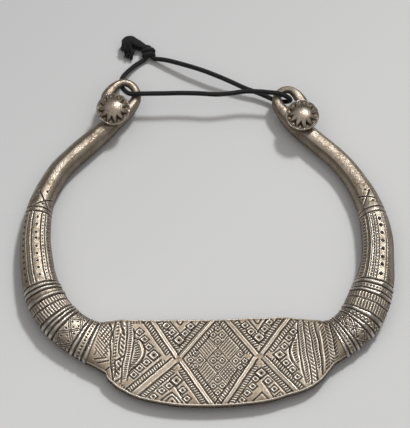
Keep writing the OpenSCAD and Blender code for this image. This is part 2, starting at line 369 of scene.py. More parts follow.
def closed_faces(rings: int, sides: int) -> list[list[int]]:
    """Four-sided faces between closed rings of points, and last the two flat faces that close the ends.

    Args:
        rings: Number of rings.
        sides: Points in each ring.

    Returns:
        The faces' corner numbers.
    """
    ring, j = np.meshgrid(np.arange(rings - 1) * sides, np.arange(sides), indexing="ij")
    after = (j + 1) % sides
    corners = np.stack([ring + j, ring + sides + j, ring + sides + after, ring + after], axis=-1)
    last = (rings - 1) * sides
    ends = [list(range(sides)), list(range(last + sides - 1, last - 1, -1))]
    return corners.reshape(-1, 4).tolist() + ends


@dataclass(frozen=True)
class Groove:
    """A round groove's width and depth in millimetres. With a depth below 0 it is a ridge."""

    width: float
    depth: float


@dataclass(frozen=True)
class Diamond:
    """A small raised diamond: half of its two diagonals, and the radius of its dot."""

    half: Point
    dot: float


class Relief:
    """A height field in millimetres over a flat chart, cut and raised stroke by stroke."""

    floor = -0.6
    grain = 0.03
    band_edge = 0.3
    dot_radius = 0.6
    dot_depth = 0.5
    dot_lip = 0.12
    tile_rise = 0.1
    tile_lip = 0.2
    tile_outline = 0.42
    tile_dot_depth = 0.55
    tile_edge = 1.04
    tile_outline_at = 1.2

    def __init__(self, x: np.ndarray, y: np.ndarray) -> None:
        """Starts flat.

        Args:
            x: First chart coordinate of each point.
            y: Second chart coordinate of each point.
        """
        self.x = x
        self.y = y
        self.height = np.zeros_like(x)

    def beside(self, start: Point, end: Point) -> tuple[np.ndarray, np.ndarray, float]:
        """Measures from a straight line.

        Args:
            start: The line's first end.
            end: The line's other end.

        Returns:
            Each point's distance along the line and to its left, and the line's length.
        """
        dx, dy = end[0] - start[0], end[1] - start[1]
        length = math.hypot(dx, dy)
        rx, ry = self.x - start[0], self.y - start[1]
        return (rx * dx + ry * dy) / length, (ry * dx - rx * dy) / length, length

    def near_curve(self, points: list[Point]) -> tuple[np.ndarray, np.ndarray]:
        """Measures from a chain of straight stretches.

        Args:
            points: The chain's corners.

        Returns:
            Each point's distance along the chain and to its left.
        """
        best = np.full(self.x.shape, np.inf)
        along, side = np.zeros_like(self.x), np.full(self.x.shape, 1e6)
        run = 0.0
        for start, end in zip(points, points[1:]):
            place, offset, length = self.beside(start, end)
            held = np.clip(place, 0, length)
            distance = np.hypot(place - held, offset)
            closer = distance < best
            best = np.where(closer, distance, best)
            side = np.where(closer, np.copysign(distance, offset), side)
            along = np.where(closer, run + held, along)
            run += length
        return along, side

    def cut(self, points: Curve, groove: Groove) -> None:
        """Cuts a round groove, or raises a ridge, along the curve through given points."""
        _, side = self.near_curve(curved(points))
        self.height -= groove.depth * hump(2 * side / groove.width)

    def strokes(
        self,
        points: Curve,
        low: float,
        high: float,
        pitch: float,
        depth: float,
        slant: float,
    ) -> None:
        """Cuts a row of short strokes across a band that follows a curve.

        Args:
            points: The curve's given points.
            low: The band's near edge, to the left of the curve.
            high: The band's far edge.
            pitch: Distance from stroke to stroke.
            depth: Depth of the strokes.
            slant: How far a stroke runs along for each millimetre across.
        """
        along, side = self.near_curve(curved(points))
        inside = step_up((side - low) / self.band_edge) * step_up((high - side) / self.band_edge)
        self.height -= depth * inside * stroke_wave((along + slant * side) / pitch)

    def dot(self, centre: Point) -> None:
        """Punches a plain round dot."""
        distance = np.hypot(self.x - centre[0], self.y - centre[1])
        self.height -= self.dot_depth * hump(distance / self.dot_radius)

    def ring_dot(self, centre: Point, radius: float) -> None:
        """Punches a dot with a thin raised lip around it."""
        distance = np.hypot(self.x - centre[0], self.y - centre[1]) / radius
        self.height += self.dot_lip * hump((distance - 1.15) / 0.35) - self.dot_depth * hump(distance)

    def tile(self, centre: Point, diamond: Diamond) -> None:
        """Raises a small diamond with a bright lip, a sunk outline and a punched dot.

        Args:
            centre: Middle of the diamond.
            diamond: Its size and its dot's.
        """
        dx, dy = self.x - centre[0], self.y - centre[1]
        edge = np.abs(dx) / diamond.half[0] + np.abs(dy) / diamond.half[1]
        inside = step_up((self.tile_edge - edge) / 0.12)
        self.height *= 1 - inside
        self.height += inside * (self.tile_rise + self.tile_lip * hump((edge - 0.8) / 0.2))
        self.height -= self.tile_outline * hump((edge - self.tile_outline_at) / 0.19)
        self.height -= inside * self.tile_dot_depth * hump(np.hypot(dx, dy) / diamond.dot)

    def finished(self) -> np.ndarray:
        """The heights, with a hand-worked grain and no cut deeper than the floor."""
        rough = waviness(self.x, self.y, 1.3, SEED) * waviness(self.x, self.y, 2.1, SEED + 1)
        return np.maximum(self.height + self.grain * rough, self.floor)


@dataclass(frozen=True)
class Sections:
    """Rings of points around the collar, with the charts that the ornament is drawn on.

    The charts are the distance across a section from its top, the section's radius, the run along the
    collar, and 1 on the upper side.
    """

    places: np.ndarray
    points: np.ndarray
    normals: np.ndarray
    across: np.ndarray
    radius: np.ndarray
    run: np.ndarray
    upper: np.ndarray


@dataclass(frozen=True)
class CollarPath:
    """The collar's middle line and cross-sections, as a smooth curve through the section table."""

    rows: np.ndarray = field(default_factory=lambda: np.array(COLLAR_ROWS, float))
    fine_places: int = 4000
    fine_sides: int = 1200
    lower_from: float = -0.3
    lower_density: float = 0.22

    def middle(self, places: np.ndarray) -> np.ndarray:
        """The middle line's points in the frame."""
        return spline(self.rows, places)[:, :3] + OFFSET

    def heading(self, places: np.ndarray) -> np.ndarray:
        """The direction of the middle line, the same as in the solid.

        Args:
            places: Places along the collar.

        Returns:
            A unit vector for each place.
        """
        step = 0.05
        last = len(self.rows) - 1
        after = self.middle(np.minimum(places + step, last))
        return unit(after - self.middle(np.maximum(places - step, 0)))

    def length_to(self, places: np.ndarray) -> np.ndarray:
        """Distance along the middle line from the left tip to each place."""
        fine = np.linspace(0, len(self.rows) - 1, self.fine_places)
        return np.interp(places, fine, run_along(self.middle(fine)))

    def evenly(self, low: float, high: float, step: float) -> np.ndarray:
        """Places that are the same distance apart along the middle line.

        Args:
            low: The first place.
            high: The last place.
            step: The largest distance between two.

        Returns:
            The places.
        """
        fine = np.linspace(low, high, self.fine_places // 2)
        run = self.length_to(fine)
        count = int((run[-1] - run[0]) / step) + 2
        return np.interp(np.linspace(run[0], run[-1], count), run, fine)

    def _fine_angles(self) -> np.ndarray:
        """Angles once around a section, much closer together at the four quarters.

        Returns:
            The angles, from the section's lowest point.
        """
        share = np.linspace(0, 1, self.fine_sides // 4 + 1)
        eased = share**3 / (share**3 + (1 - share) ** 3)
        quarters = [eased[:-1] + k for k in range(4)]
        return (np.concatenate([*quarters, [4.0]]) - 1) * math.pi / 2

    def sections(self, places: np.ndarray, sides: int) -> Sections:
        """Rings of points, evenly spaced around each section and closer on its upper part.

        Args:
            places: Places along the collar.
            sides: Points in each ring.

        Returns:
            The rings and their charts.
        """
        table = spline(self.rows, places)
        half_w, half_h = table[:, 3:4], table[:, 4:5]
        power = 2 / table[:, 5:6]
        along = self.heading(places)
        side = unit(np.cross(along, (0, 0, 1)))
        up = np.cross(side, along)
        angle = self._fine_angles()[None, :]
        wide = half_w * signed_power(np.cos(angle), power)
        tall = half_h * signed_power(np.sin(angle), power)
        steps = np.hypot(np.diff(wide), np.diff(tall))
        density = np.where(tall[:, 1:] > self.lower_from * half_h, 1.0, self.lower_density)
        start = np.zeros((len(places), 1))
        true_run = np.concatenate([start, np.cumsum(steps, axis=1)], axis=1)
        weighted = np.concatenate([start, np.cumsum(steps * density, axis=1)], axis=1)
        share = np.arange(sides) / sides
        picked = np.stack([np.interp(share * w[-1], w, angle[0]) for w in weighted])
        run_at = np.stack([np.interp(p, angle[0], r) for p, r in zip(picked, true_run)])
        top_run = true_run[:, [self.fine_sides // 2]]
        side_run = true_run[:, [self.fine_sides // 4]]
        cosine, sine = np.cos(picked), np.sin(picked)
        x = half_w * signed_power(cosine, power)
        y = half_h * signed_power(sine, power)
        points = self.middle(places)[:, None] + x[..., None] * side[:, None] + y[..., None] * up[:, None]
        nx = signed_power(cosine, 2 - power) / half_w
        ny = signed_power(sine, 2 - power) / half_h
        normals = unit(nx[..., None] * side[:, None] + ny[..., None] * up[:, None])
        return Sections(
            places=places,
            points=points,
            normals=normals,
            across=top_run - run_at,
            radius=(top_run - side_run) / (math.pi / 2),
            run=np.repeat(self.length_to(places)[:, None], sides, axis=1),
            upper=np.clip(sine * 4 + 0.5, 0, 1),
        )


class Band(Enum):
    """What a ring band around an arm, or a row of marks along it, carries."""

    GROOVE = "groove"
    RIDGE = "ridge"
    STROKES = "strokes"
    DOTS = "dots"
    ZIGZAG = "zigzag"
    LATTICE = "lattice"


# Height of each kind of row on the arms' panels
ROW_HEIGHTS = {Band.GROOVE: -0.4, Band.RIDGE: 0.22, Band.STROKES: -0.38, Band.DOTS: -0.42}


@dataclass(frozen=True)
class Row:
    """A row of marks that runs along an arm's panel, at a share of its half width."""

    across: float
    kind: Band
    width: float
    pitch: float = 1.6


@dataclass(frozen=True)
class ArmOrnament:
    """Everything chased on one lower arm: the cross mark, the long panel and the ring bands.

    Places along the arm are row numbers of the section table. Places across it are shares of its
    half width.
    """

    bands: tuple[tuple[Band, float, float], ...]
    panel: tuple[float, float]
    rows: tuple[Row, ...]
    ring_dots: tuple[float, ...]
    ring_dot_across: float
    ring_dot_radius: float
    crosses: tuple[tuple[Point, Point], ...]
    loose_dots: tuple[Point, ...]
    wobble: float = 0.12
    cross_groove: Groove = Groove(0.75, 0.5)
    band_groove: Groove = Groove(0.84, 0.45)
    band_ridge: Groove = Groove(1.7, -0.36)
    stroke_pitch: float = 1.55
    stroke_depth: float = 0.32
    dot_pitch: float = 1.7
    dot_radius: float = 0.55
    dot_depth: float = 0.4
    dot_band_rise: float = 0.1
    tooth_pitch: float = 2.3
    tooth_depth: float = 0.38
    lattice_pitch: float = 9.0
    lattice_groove: Groove = Groove(0.72, 0.34)
    lattice_shifts: Point = (-0.55, 0.55)
    lattice_dot_depth: float = 0.35
    lattice_dots: tuple[Point, ...] = ((0.0, 0.55), (0.0, -0.55), (0.5, 0.5), (0.5, -0.5), (0.28, 0.0))

    def carve(self, path: CollarPath, sections: Sections) -> np.ndarray:
        """Works out the arm's relief.

        Args:
            path: The collar's path.
            sections: The arm's rings of points.

        Returns:
            The height of the relief at each point.
        """
        wobble = self.wobble * waviness(sections.run, sections.across, 14, SEED + 5)
        relief = Relief(sections.run + wobble, sections.across)
        for kind, low, high in self.bands:
            self._band(relief, path, kind, low, high)
        self._panel(relief, path, sections)
        for start, end in self.crosses:
            relief.cut((self._spot(path, start), self._spot(path, end)), self.cross_groove)
        for place in self.loose_dots:
            relief.dot(self._spot(path, place))
        for place in self.ring_dots:
            relief.ring_dot(self._spot(path, (place, self.ring_dot_across)), self.ring_dot_radius)
        return relief.finished()

    def _spot(self, path: CollarPath, place: Point) -> Point:
        """Finds a mark on the arm's chart.

        Args:
            path: The collar's path.
            place: Place along the arm, and share of its half width.

        Returns:
            The mark's chart coordinates.
        """
        here = np.array([place[0]])
        row = spline(path.rows, here)[0]
        radius = (row[3] + row[4]) / 2
        return float(path.length_to(here)[0]), radius * math.asin(place[1])

    def _band(self, relief: Relief, path: CollarPath, kind: Band, low: float, high: float) -> None:
        """Cuts or raises one band around the arm.

        Args:
            relief: The arm's relief.
            path: The collar's path.
            kind: What the band carries.
            low: Its first place along the collar.
            high: Its last place.
        """
        ends = path.length_to(np.array([low, high]))
        middle, half = ends.mean(), (ends[1] - ends[0]) / 2
        away = relief.x - middle
        inside = step_up((half - np.abs(away)) / relief.band_edge + 0.5)
        if kind in (Band.GROOVE, Band.RIDGE):
            form = self.band_groove if kind is Band.GROOVE else self.band_ridge
            relief.height -= form.depth * hump(2 * away / form.width)
        elif kind is Band.STROKES:
            turns = (relief.y + 0.12 * away) / self.stroke_pitch
            relief.height -= self.stroke_depth * inside * stroke_wave(turns, 2)
        elif kind is Band.DOTS:
            around = from_nearest(relief.y, self.dot_pitch)
            dots = hump(np.hypot(around, away) / self.dot_radius)
            relief.height += self.dot_band_rise * inside - self.dot_depth * dots
        elif kind is Band.ZIGZAG:
            teeth = np.abs((relief.y / self.tooth_pitch) % 1 - 0.5) * 4 - 1
            relief.height -= self.tooth_depth * inside * hump((away - teeth * half * 0.55) / 0.4)
        else:
            self._lattice(relief, middle, half, inside)

    def _lattice(self, relief: Relief, middle: float, half: float, inside: np.ndarray) -> None:
        """Cuts double crossing lines and dots into a broad band.

        Args:
            relief: The arm's relief.
            middle: The band's middle along the arm.
            half: Half of the band's width.
            inside: 1 where a point is inside the band.
        """
        lane = ((relief.y + 2.0) / self.lattice_pitch) % 1 - 0.5
        away = relief.x - middle
        for sign in (-1, 1):
            line = sign * away + 2 * half * lane
            for shift in self.lattice_shifts:
                mark = hump(2 * (line - shift) / self.lattice_groove.width)
                relief.height -= self.lattice_groove.depth * inside * mark
        for lane_shift, along_shift in self.lattice_dots:
            for sign in (-1, 1):
                around = ((lane - sign * lane_shift + 0.5) % 1 - 0.5) * self.lattice_pitch
                distance = np.hypot(around, away - along_shift * half)
                relief.height -= self.lattice_dot_depth * inside * hump(distance / 0.5)

    def _panel(self, relief: Relief, path: CollarPath, sections: Sections) -> None:
        """Cuts the rows that run along the long panel.

        Args:
            relief: The arm's relief.
            path: The collar's path.
            sections: The arm's rings of points.
        """
        low, high = path.length_to(np.array(self.panel))
        inside = step_up((sections.run - low) / 0.5) * step_up((high - sections.run) / 0.5)
        for row in self.rows:
            away = sections.across - sections.radius * math.asin(row.across)
            from_mark = from_nearest(relief.x, row.pitch)
            if row.kind is Band.DOTS:
                mark = hump(np.hypot(away, from_mark) / (row.width / 2))
            else:
                mark = hump(2 * away / row.width)
            if row.kind is Band.STROKES:
                mark = mark * hump(from_mark / (0.3 * row.pitch))
            relief.height += ROW_HEIGHTS[row.kind] * mark * inside


LEFT_ORNAMENT = ArmOrnament(
    bands=(
        (Band.GROOVE, 19.55, 19.65), (Band.GROOVE, 19.78, 19.88),
        (Band.GROOVE, 23.40, 23.50), (Band.RIDGE, 23.50, 23.64), (Band.GROOVE, 23.62, 23.72),
        (Band.RIDGE, 23.70, 23.84), (Band.GROOVE, 23.82, 23.92), (Band.RIDGE, 24.08, 24.24),
        (Band.GROOVE, 24.23, 24.33), (Band.STROKES, 24.31, 24.60), (Band.GROOVE, 24.59, 24.69),
        (Band.STROKES, 24.68, 25.12), (Band.GROOVE, 25.12, 25.20), (Band.RIDGE, 25.22, 25.38),
        (Band.GROOVE, 25.36, 25.44), (Band.RIDGE, 25.42, 25.58), (Band.GROOVE, 25.58, 25.66),
        (Band.RIDGE, 25.67, 25.83), (Band.GROOVE, 25.85, 25.95), (Band.LATTICE, 25.95, 26.90),
        (Band.GROOVE, 26.87, 26.97), (Band.RIDGE, 26.97, 27.13), (Band.GROOVE, 27.15, 27.25),
        (Band.DOTS, 27.25, 27.65), (Band.GROOVE, 27.65, 27.75), (Band.RIDGE, 27.82, 27.98),
    ),
    panel=(19.85, 23.42),
    rows=(
        Row(0.81, Band.DOTS, 1.8, 3.0), Row(0.61, Band.GROOVE, 0.5),
        Row(0.45, Band.DOTS, 0.75, 1.5), Row(0.30, Band.GROOVE, 0.8), Row(-0.33, Band.GROOVE, 0.8),
        Row(-0.47, Band.DOTS, 0.7, 1.9), Row(-0.53, Band.RIDGE, 1.3), Row(-0.64, Band.GROOVE, 0.45),
        Row(-0.83, Band.DOTS, 1.4, 1.8),
    ),
    ring_dots=(20.15, 20.5, 20.9, 21.2, 21.61, 21.97, 22.33, 22.67, 23.05),
    ring_dot_across=-0.03,
    ring_dot_radius=0.68,
    crosses=(((18.7, 0.45), (19.55, -0.7)), ((18.95, -0.85), (19.55, 0.5))),
    loose_dots=((18.95, 0.45), (18.65, -0.25), (19.4, -0.2), (19.3, -0.85)),
)

RIGHT_ORNAMENT = ArmOrnament(
    bands=(
        (Band.RIDGE, 43.62, 43.78), (Band.GROOVE, 43.79, 43.89), (Band.DOTS, 43.90, 44.32),
        (Band.GROOVE, 44.31, 44.41), (Band.RIDGE, 44.42, 44.58), (Band.GROOVE, 44.58, 44.66),
        (Band.LATTICE, 44.66, 45.44), (Band.GROOVE, 45.44, 45.52), (Band.RIDGE, 45.52, 45.68),
        (Band.GROOVE, 45.68, 45.76), (Band.ZIGZAG, 45.76, 46.00), (Band.GROOVE, 45.99, 46.07),
        (Band.RIDGE, 46.08, 46.24), (Band.GROOVE, 46.23, 46.31), (Band.STROKES, 46.32, 46.70),
        (Band.GROOVE, 46.70, 46.80), (Band.STROKES, 46.80, 47.05), (Band.GROOVE, 47.04, 47.14),
        (Band.RIDGE, 47.11, 47.27), (Band.GROOVE, 47.24, 47.34), (Band.DOTS, 47.32, 47.52),
        (Band.GROOVE, 47.51, 47.61), (Band.RIDGE, 47.60, 47.76), (Band.GROOVE, 47.75, 47.85),
        (Band.GROOVE, 51.00, 51.10), (Band.GROOVE, 51.22, 51.32),
    ),
    panel=(47.82, 51.02),
    rows=(
        Row(-0.83, Band.STROKES, 2.4, 1.75), Row(-0.64, Band.GROOVE, 0.5), Row(-0.54, Band.GROOVE, 1.6),
        Row(-0.40, Band.GROOVE, 0.5), Row(-0.33, Band.RIDGE, 0.6), Row(-0.23, Band.DOTS, 0.9, 1.6),
        Row(-0.11, Band.GROOVE, 0.5), Row(0.0, Band.DOTS, 0.7, 1.7), Row(0.09, Band.GROOVE, 0.45),
        Row(0.58, Band.GROOVE, 0.6), Row(0.67, Band.DOTS, 0.7, 1.6),
    ),
    ring_dots=(50.68, 50.38, 50.03, 49.66, 49.29, 48.9, 48.56, 48.12),
    ring_dot_across=0.32,
    ring_dot_radius=0.95,
    crosses=(((52.0, -0.67), (51.6, 0.69)), ((52.1, 0.43), (51.43, -0.55))),
    loose_dots=((52.2, 0.1), (51.55, 0.3), (51.75, -0.45), (51.95, 0.72)),
)


@dataclass(frozen=True)
class Bar:
    """A raised bar of the plate, from its crossing to the rim, in pixels.

    Its half width is in millimetres. Its bright lip lies at a share of the half width to its left, and
    stands higher than the bar by the lip's height.
    """

    start: Point
    end: Point
    half: float
    lip: float
    lip_height: float = 0.16


@dataclass(frozen=True)
class PlateOrnament:
    """The chased ornament of the front plate.

    Places are pixels of the photograph. Widths, depths and half diagonals are millimetres.
    """

    bars: tuple[Bar, ...] = (
        Bar((177.5, 356.5), (150.5, 317), 1.3, 0.6),
        Bar((180, 356), (213.5, 318), 1.4, 0.0, 0.2),
        Bar((175, 359), (136.5, 391), 1.9, -0.65),
        Bar((181, 359.5), (212, 403), 1.3, -0.55, 0.2),
        Bar((256.5, 354), (225.5, 318), 1.4, 0.6, 0.05),
        Bar((260.5, 353), (289, 315), 1.4, 0.2, 0.2),
        Bar((255, 356), (224, 402), 1.3, -0.5, 0.12),
        Bar((263, 356), (298, 391.5), 1.4, 0.5, 0.2),
    )
    tiles: tuple[Point, ...] = (
        (166.5, 325), (172, 331.7), (185, 332.6), (190.5, 325.6),
        (153.5, 395), (162, 389), (169.5, 384), (182.5, 388.5), (187, 397),
        (244.5, 324.6), (250.7, 331), (264, 328.4), (268.7, 321.4),
        (241.5, 398.3), (246.5, 391.3), (252, 384.7), (255, 377.4),
        (267.4, 379.6), (273.5, 387.2), (279.5, 394.3),
        (139.8, 331), (145, 338.3), (149, 346), (147, 361), (140, 367), (134, 373.4),
        (292.6, 331), (288, 337), (283.8, 345.4), (285.2, 361.8), (291.7, 368.3), (296.5, 375.4),
    )
    large_tiles: tuple[Point, ...] = (
        (179.2, 339.2), (258.5, 336.4), (154, 354), (279, 353.6), (176.5, 379), (260.6, 371.4),
    )
    loose_dots: tuple[Point, ...] = ((172.5, 399.5), (261.5, 399))
    tile: Diamond = Diamond((2.0, 1.85), 0.55)
    large_tile: Diamond = Diamond((2.7, 2.5), 0.7)
    small_tile: Diamond = Diamond((1.6, 1.5), 0.5)
    lozenge: tuple[Point, Point, Point] = ((184, 358.5), (217.5, 321.5), (217.5, 397))
    small_tile_steps: Point = (2.15, 3.4)
    cuts: tuple[Curve, ...] = (
        ((167.5, 318), (174.5, 326), (181, 334)),
        ((194, 318.5), (187.5, 326), (181.5, 333)),
        ((175.5, 318), (180, 324), (185, 318)),
        ((246.5, 317), (252, 324), (257.5, 330.5)),
        ((267, 316.5), (262, 323.5), (257.5, 330.5)),
        ((252, 317), (257, 323), (261.5, 317)),
        ((159.5, 400.5), (166, 394.5), (172, 390.5)),
        ((172, 390.5), (177.5, 395.5), (183.5, 402)),
        ((165.5, 400.5), (172, 394.6), (178.5, 401.5)),
        ((171, 377), (176, 385), (181, 393), (187.5, 402)),
        ((249.5, 402), (255.5, 396), (261.5, 390.5)),
        ((261.5, 390.5), (266, 395), (271, 400)),
        ((262, 380), (268, 387.5), (275, 398)),
        ((134, 328), (134.8, 337), (133.8, 345), (132.3, 353), (130.8, 361), (129.3, 370), (127.3, 379)),
        ((127.5, 317), (127.8, 330), (127.2, 341), (126, 350), (123.8, 359), (122.6, 368), (121.8, 380)),
        ((121, 319), (122, 326), (124.8, 333)),
        ((121.2, 333), (119.8, 343), (119.6, 352)),
        ((116.5, 321), (114, 331), (113.6, 341)),
        ((110, 322), (112.8, 330), (111, 341), (111.4, 352), (111.8, 365), (113.5, 378)),
        ((115.2, 361), (116.6, 367), (114.8, 376)),
        ((115, 360.5), (119.5, 357.5), (124.5, 354.5)),
        ((116.3, 369.8), (122.5, 364.5)),
        ((116.5, 380), (122, 376)),
        ((134.5, 336.8), (141, 339.5), (144.8, 346), (145, 352), (142, 359.5), (136, 365), (129.8, 371)),
        ((297, 318), (297.2, 330), (298, 341), (299.3, 352), (300.6, 362), (303, 372), (305.5, 381)),
        ((302, 319), (303.5, 331), (305, 342), (306.3, 353), (308.5, 363), (310.5, 374), (310.8, 384)),
        ((307.3, 321), (309.3, 332), (311.3, 342), (313, 353), (314.8, 363), (316.3, 373), (316.8, 380)),
        ((313, 321.5), (315.3, 332), (317.8, 341), (319.2, 351), (320.6, 361), (321.8, 373)),
        ((328.6, 324), (332.4, 340), (334.4, 352)),
        ((294.5, 335), (290.3, 342.5), (288.7, 350), (290, 357), (293.5, 362.5), (298.5, 368)),
        ((95, 357.8), (106.5, 356.3)), ((98, 361.8), (109, 359.3)), ((104, 371), (110, 366)),
    )
    fine_cuts: tuple[Curve, ...] = (
        ((108.2, 322), (112.6, 327)), ((104.6, 322), (113, 331.2)), ((101.8, 322.6), (112.8, 334.6)),
        ((101.2, 325.6), (112.2, 338)), ((100.6, 328.6), (111.4, 341.2)), ((100, 331.6), (110.6, 344.4)),
        ((99.2, 334.6), (109.8, 347.6)), ((98.4, 337.6), (109, 350.6)), ((97.6, 340.6), (107.8, 353.4)),
        ((96.8, 343.6), (106.4, 355.8)), ((96, 346.8), (103, 356)),
        ((103, 322.4), (101, 326)), ((107.4, 322.4), (101.6, 330.4)), ((111.2, 323.6), (101.6, 335.6)),
        ((112.8, 327.4), (103, 339.6)), ((112.8, 333), (105.6, 342)), ((109.8, 343), (105.4, 348.4)),
        ((107.6, 350.2), (103.4, 355.2)), ((97.2, 350), (94.8, 353.6)),
    )
    ridges: tuple[Curve, ...] = (
        ((118.3, 321), (117.2, 332), (115.8, 343), (114.6, 355), (114.2, 368), (115, 379)),
        ((124.6, 320), (124.8, 327), (126, 333)),
        ((134.8, 339.5), (140, 343), (142.3, 349), (141.3, 356), (136, 362), (131, 367)),
        ((295.5, 336), (292.3, 343), (291, 350), (292.3, 356.5), (295.5, 361.5)),
        ((318.8, 331), (320.6, 341), (322, 351), (323.2, 361), (324, 370)),
    )
    # Each band's curve, near edge, far edge, pitch and slant
    stroke_bands: tuple[tuple[Curve, float, float, float, float], ...] = (
        (
            ((130.9, 322), (131.2, 335), (130.1, 346), (128.2, 357), (126.2, 368), (124.4, 378)),
            -0.9, 0.9, 1.15, 0.3,
        ),
        (((124.2, 322), (123.6, 340), (122.4, 350), (120, 362), (118, 374)), -1.0, 1.0, 2.3, -0.9),
        (((118.6, 322), (117.4, 334), (115.8, 345), (114.4, 358), (114.2, 370)), -0.9, 0.9, 1.7, 0.4),
        (((130, 321.6), (138, 321.4), (146.5, 321.2)), -0.9, 0.9, 1.3, 0.3),
        (((119.5, 381), (125, 385.6), (131, 389)), -0.7, 0.7, 1.4, 0.2),
        (((137, 338), (137.6, 350), (134.8, 361), (131.5, 367)), -1.3, 1.3, 1.3, 0.45),
        (((299.6, 320), (300.7, 335), (302.6, 350), (305.6, 366), (308, 380)), -0.9, 0.9, 1.25, 0.7),
        (((304.8, 322), (307.1, 337), (309.5, 352), (312.6, 367), (314, 378)), -1.0, 1.0, 2.1, -1.1),
        (((310.2, 323), (313.3, 337), (316.1, 352), (318.6, 367)), -0.8, 0.8, 1.4, 0.5),
        (((294.5, 338), (293.8, 350), (297, 362)), -1.0, 1.0, 1.3, 0.4),
        (((317.5, 323), (321.3, 339), (323.5, 352), (325, 369)), 0.0, 2.3, 1.8, 0.9),
        (((322.4, 323), (326.2, 339), (328.4, 352), (329.6, 366)), 0.1, 2.4, 1.8, -0.9),
        (((327.2, 323), (331, 339), (333, 352), (333.6, 361)), 0.1, 2.2, 1.8, 0.9),
    )
    # Fields of the lozenge by their step down and up: hatched ones with the side that the lines follow
    hatched: tuple[tuple[tuple[int, int], int], ...] = (
        ((0, 1), 0), ((1, 0), 1), ((1, 2), 1), ((2, 1), 0), ((2, 1), 1),
    )
    dotted: tuple[tuple[int, int], ...] = ((0, 0), (0, 2), (1, 1), (2, 0), (2, 2))
    cut_groove: Groove = Groove(0.75, 0.45)
    fine_groove: Groove = Groove(0.5, 0.32)
    ridge: Groove = Groove(1.0, -0.22)
    field_groove: Groove = Groove(0.6, 0.36)
    hatch_groove: Groove = Groove(0.5, 0.34)
    hatch_lines: int = 6
    hatch_length: float = 0.76
    bar_rise: float = 0.16
    bar_groove: Groove = Groove(0.76, 0.45)
    bar_soft: float = 0.35
    bar_lip_width: float = 0.4
    ladder_gap: float = 0.3
    ladder_width: float = 2.3
    ladder_pitch: float = 1.35
    ladder_slant: float = 0.25
    ladder_groove: Groove = Groove(0.68, 0.42)
    stroke_depth: float = 0.4
    rim_width: float = 2.4
    rim_lip_at: float = 1.7
    rim_lip: Groove = Groove(0.9, -0.35)
    wobble: float = 0.12

    def carve(self, sections: Sections) -> np.ndarray:
        """Works out the plate's relief.

        Args:
            sections: The plate's rings of points.

        Returns:
            The height of the relief at each point.
        """
        elevation = math.radians(PHOTO_ELEVATION)
        lean = math.cos(elevation) / math.sin(elevation)
        x = sections.points[..., 0]
        y = sections.points[..., 1] + lean * (sections.points[..., 2] - PLATE_TOP)
        relief = Relief(
            x + self.wobble * waviness(x, y, 11, SEED + 2),
            y + self.wobble * waviness(x, y, 13, SEED + 3),
        )
        self._ladders(relief)
        self._lozenge(relief)
        drawn = ((self.cuts, self.cut_groove), (self.fine_cuts, self.fine_groove), (self.ridges, self.ridge))
        for curves, groove in drawn:
            for curve in curves:
                relief.cut(all_on_plate(curve), groove)
        for curve, low, high, pitch, slant in self.stroke_bands:
            relief.strokes(all_on_plate(curve), low, high, pitch, self.stroke_depth, slant)
        for bar in self.bars:
            self._bar(relief, bar)
        for centres, diamond in ((self.large_tiles, self.large_tile), (self.tiles, self.tile)):
            for centre in centres:
                relief.tile(on_plate(centre), diamond)
        for centre in self.loose_dots:
            relief.dot(on_plate(centre))
        self._rim(relief, sections)
        return relief.finished() * sections.upper

    def _bar(self, relief: Relief, bar: Bar) -> None:
        """Raises one bar with a lip along one side and a groove at each edge.

        Args:
            relief: The plate's relief.
            bar: The bar.
        """
        along, side, _ = relief.beside(on_plate(bar.start), on_plate(bar.end))
        inside = step_up(along / 0.5 + 0.5)
        body = inside * step_up((bar.half - np.abs(side)) / self.bar_soft)
        lip = hump((side - bar.lip * bar.half) / self.bar_lip_width)
        relief.height *= 1 - body
        relief.height += body * (self.bar_rise + bar.lip_height * lip)
        for edge in (-1, 1):
            away = side - edge * (bar.half + 0.05)
            relief.height -= self.bar_groove.depth * inside * hump(2 * away / self.bar_groove.width)

    def _ladders(self, relief: Relief) -> None:
        """Cuts the rows of strokes on both sides of the bars, and the line outside each row.

        Args:
            relief: The plate's relief.
        """
        for bar in self.bars:
            along, side, _ = relief.beside(on_plate(bar.start), on_plate(bar.end))
            near = bar.half + self.ladder_gap
            far = near + self.ladder_width
            for edge in (-1, 1):
                out = edge * side
                started = step_up((along - 1.2 - 0.7 * out) / 0.5 + 0.5)
                band = started * step_up((out - near) / 0.2) * step_up((far - out) / 0.2)
                strokes = stroke_wave((along + self.ladder_slant * out) / self.ladder_pitch)
                line = hump(2 * (out - far - 0.15) / self.ladder_groove.width)
                relief.height -= self.stroke_depth * band * strokes
                relief.height -= self.ladder_groove.depth * started * line

    def _lozenge(self, relief: Relief) -> None:
        """Cuts the middle lozenge's nine fields: some with small diamonds, and the others hatched.

        Args:
            relief: The plate's relief.
        """
        left, top, bottom = np.array(all_on_plate(self.lozenge))
        down, up = bottom - left, top - left
        for share in (1 / 3, 2 / 3):
            for over, run in ((down, up), (up, down)):
                start = left + share * over
                relief.cut((tuple(start), tuple(start + run)), self.field_groove)
        sides = (down / 3, up / 3)
        for cell, way in self.hatched:
            run, over = sides[way], sides[1 - way]
            self._hatch(relief, left + cell[way] * run + cell[1 - way] * over, run, over)
        across, tall = self.small_tile_steps
        for i, j in self.dotted:
            middle = left + down * (i + 0.5) / 3 + up * (j + 0.5) / 3
            for dx, dy in ((-across, 0), (across, 0), (0, tall), (0, -tall)):
                relief.tile((middle[0] + dx, middle[1] + dy), self.small_tile)

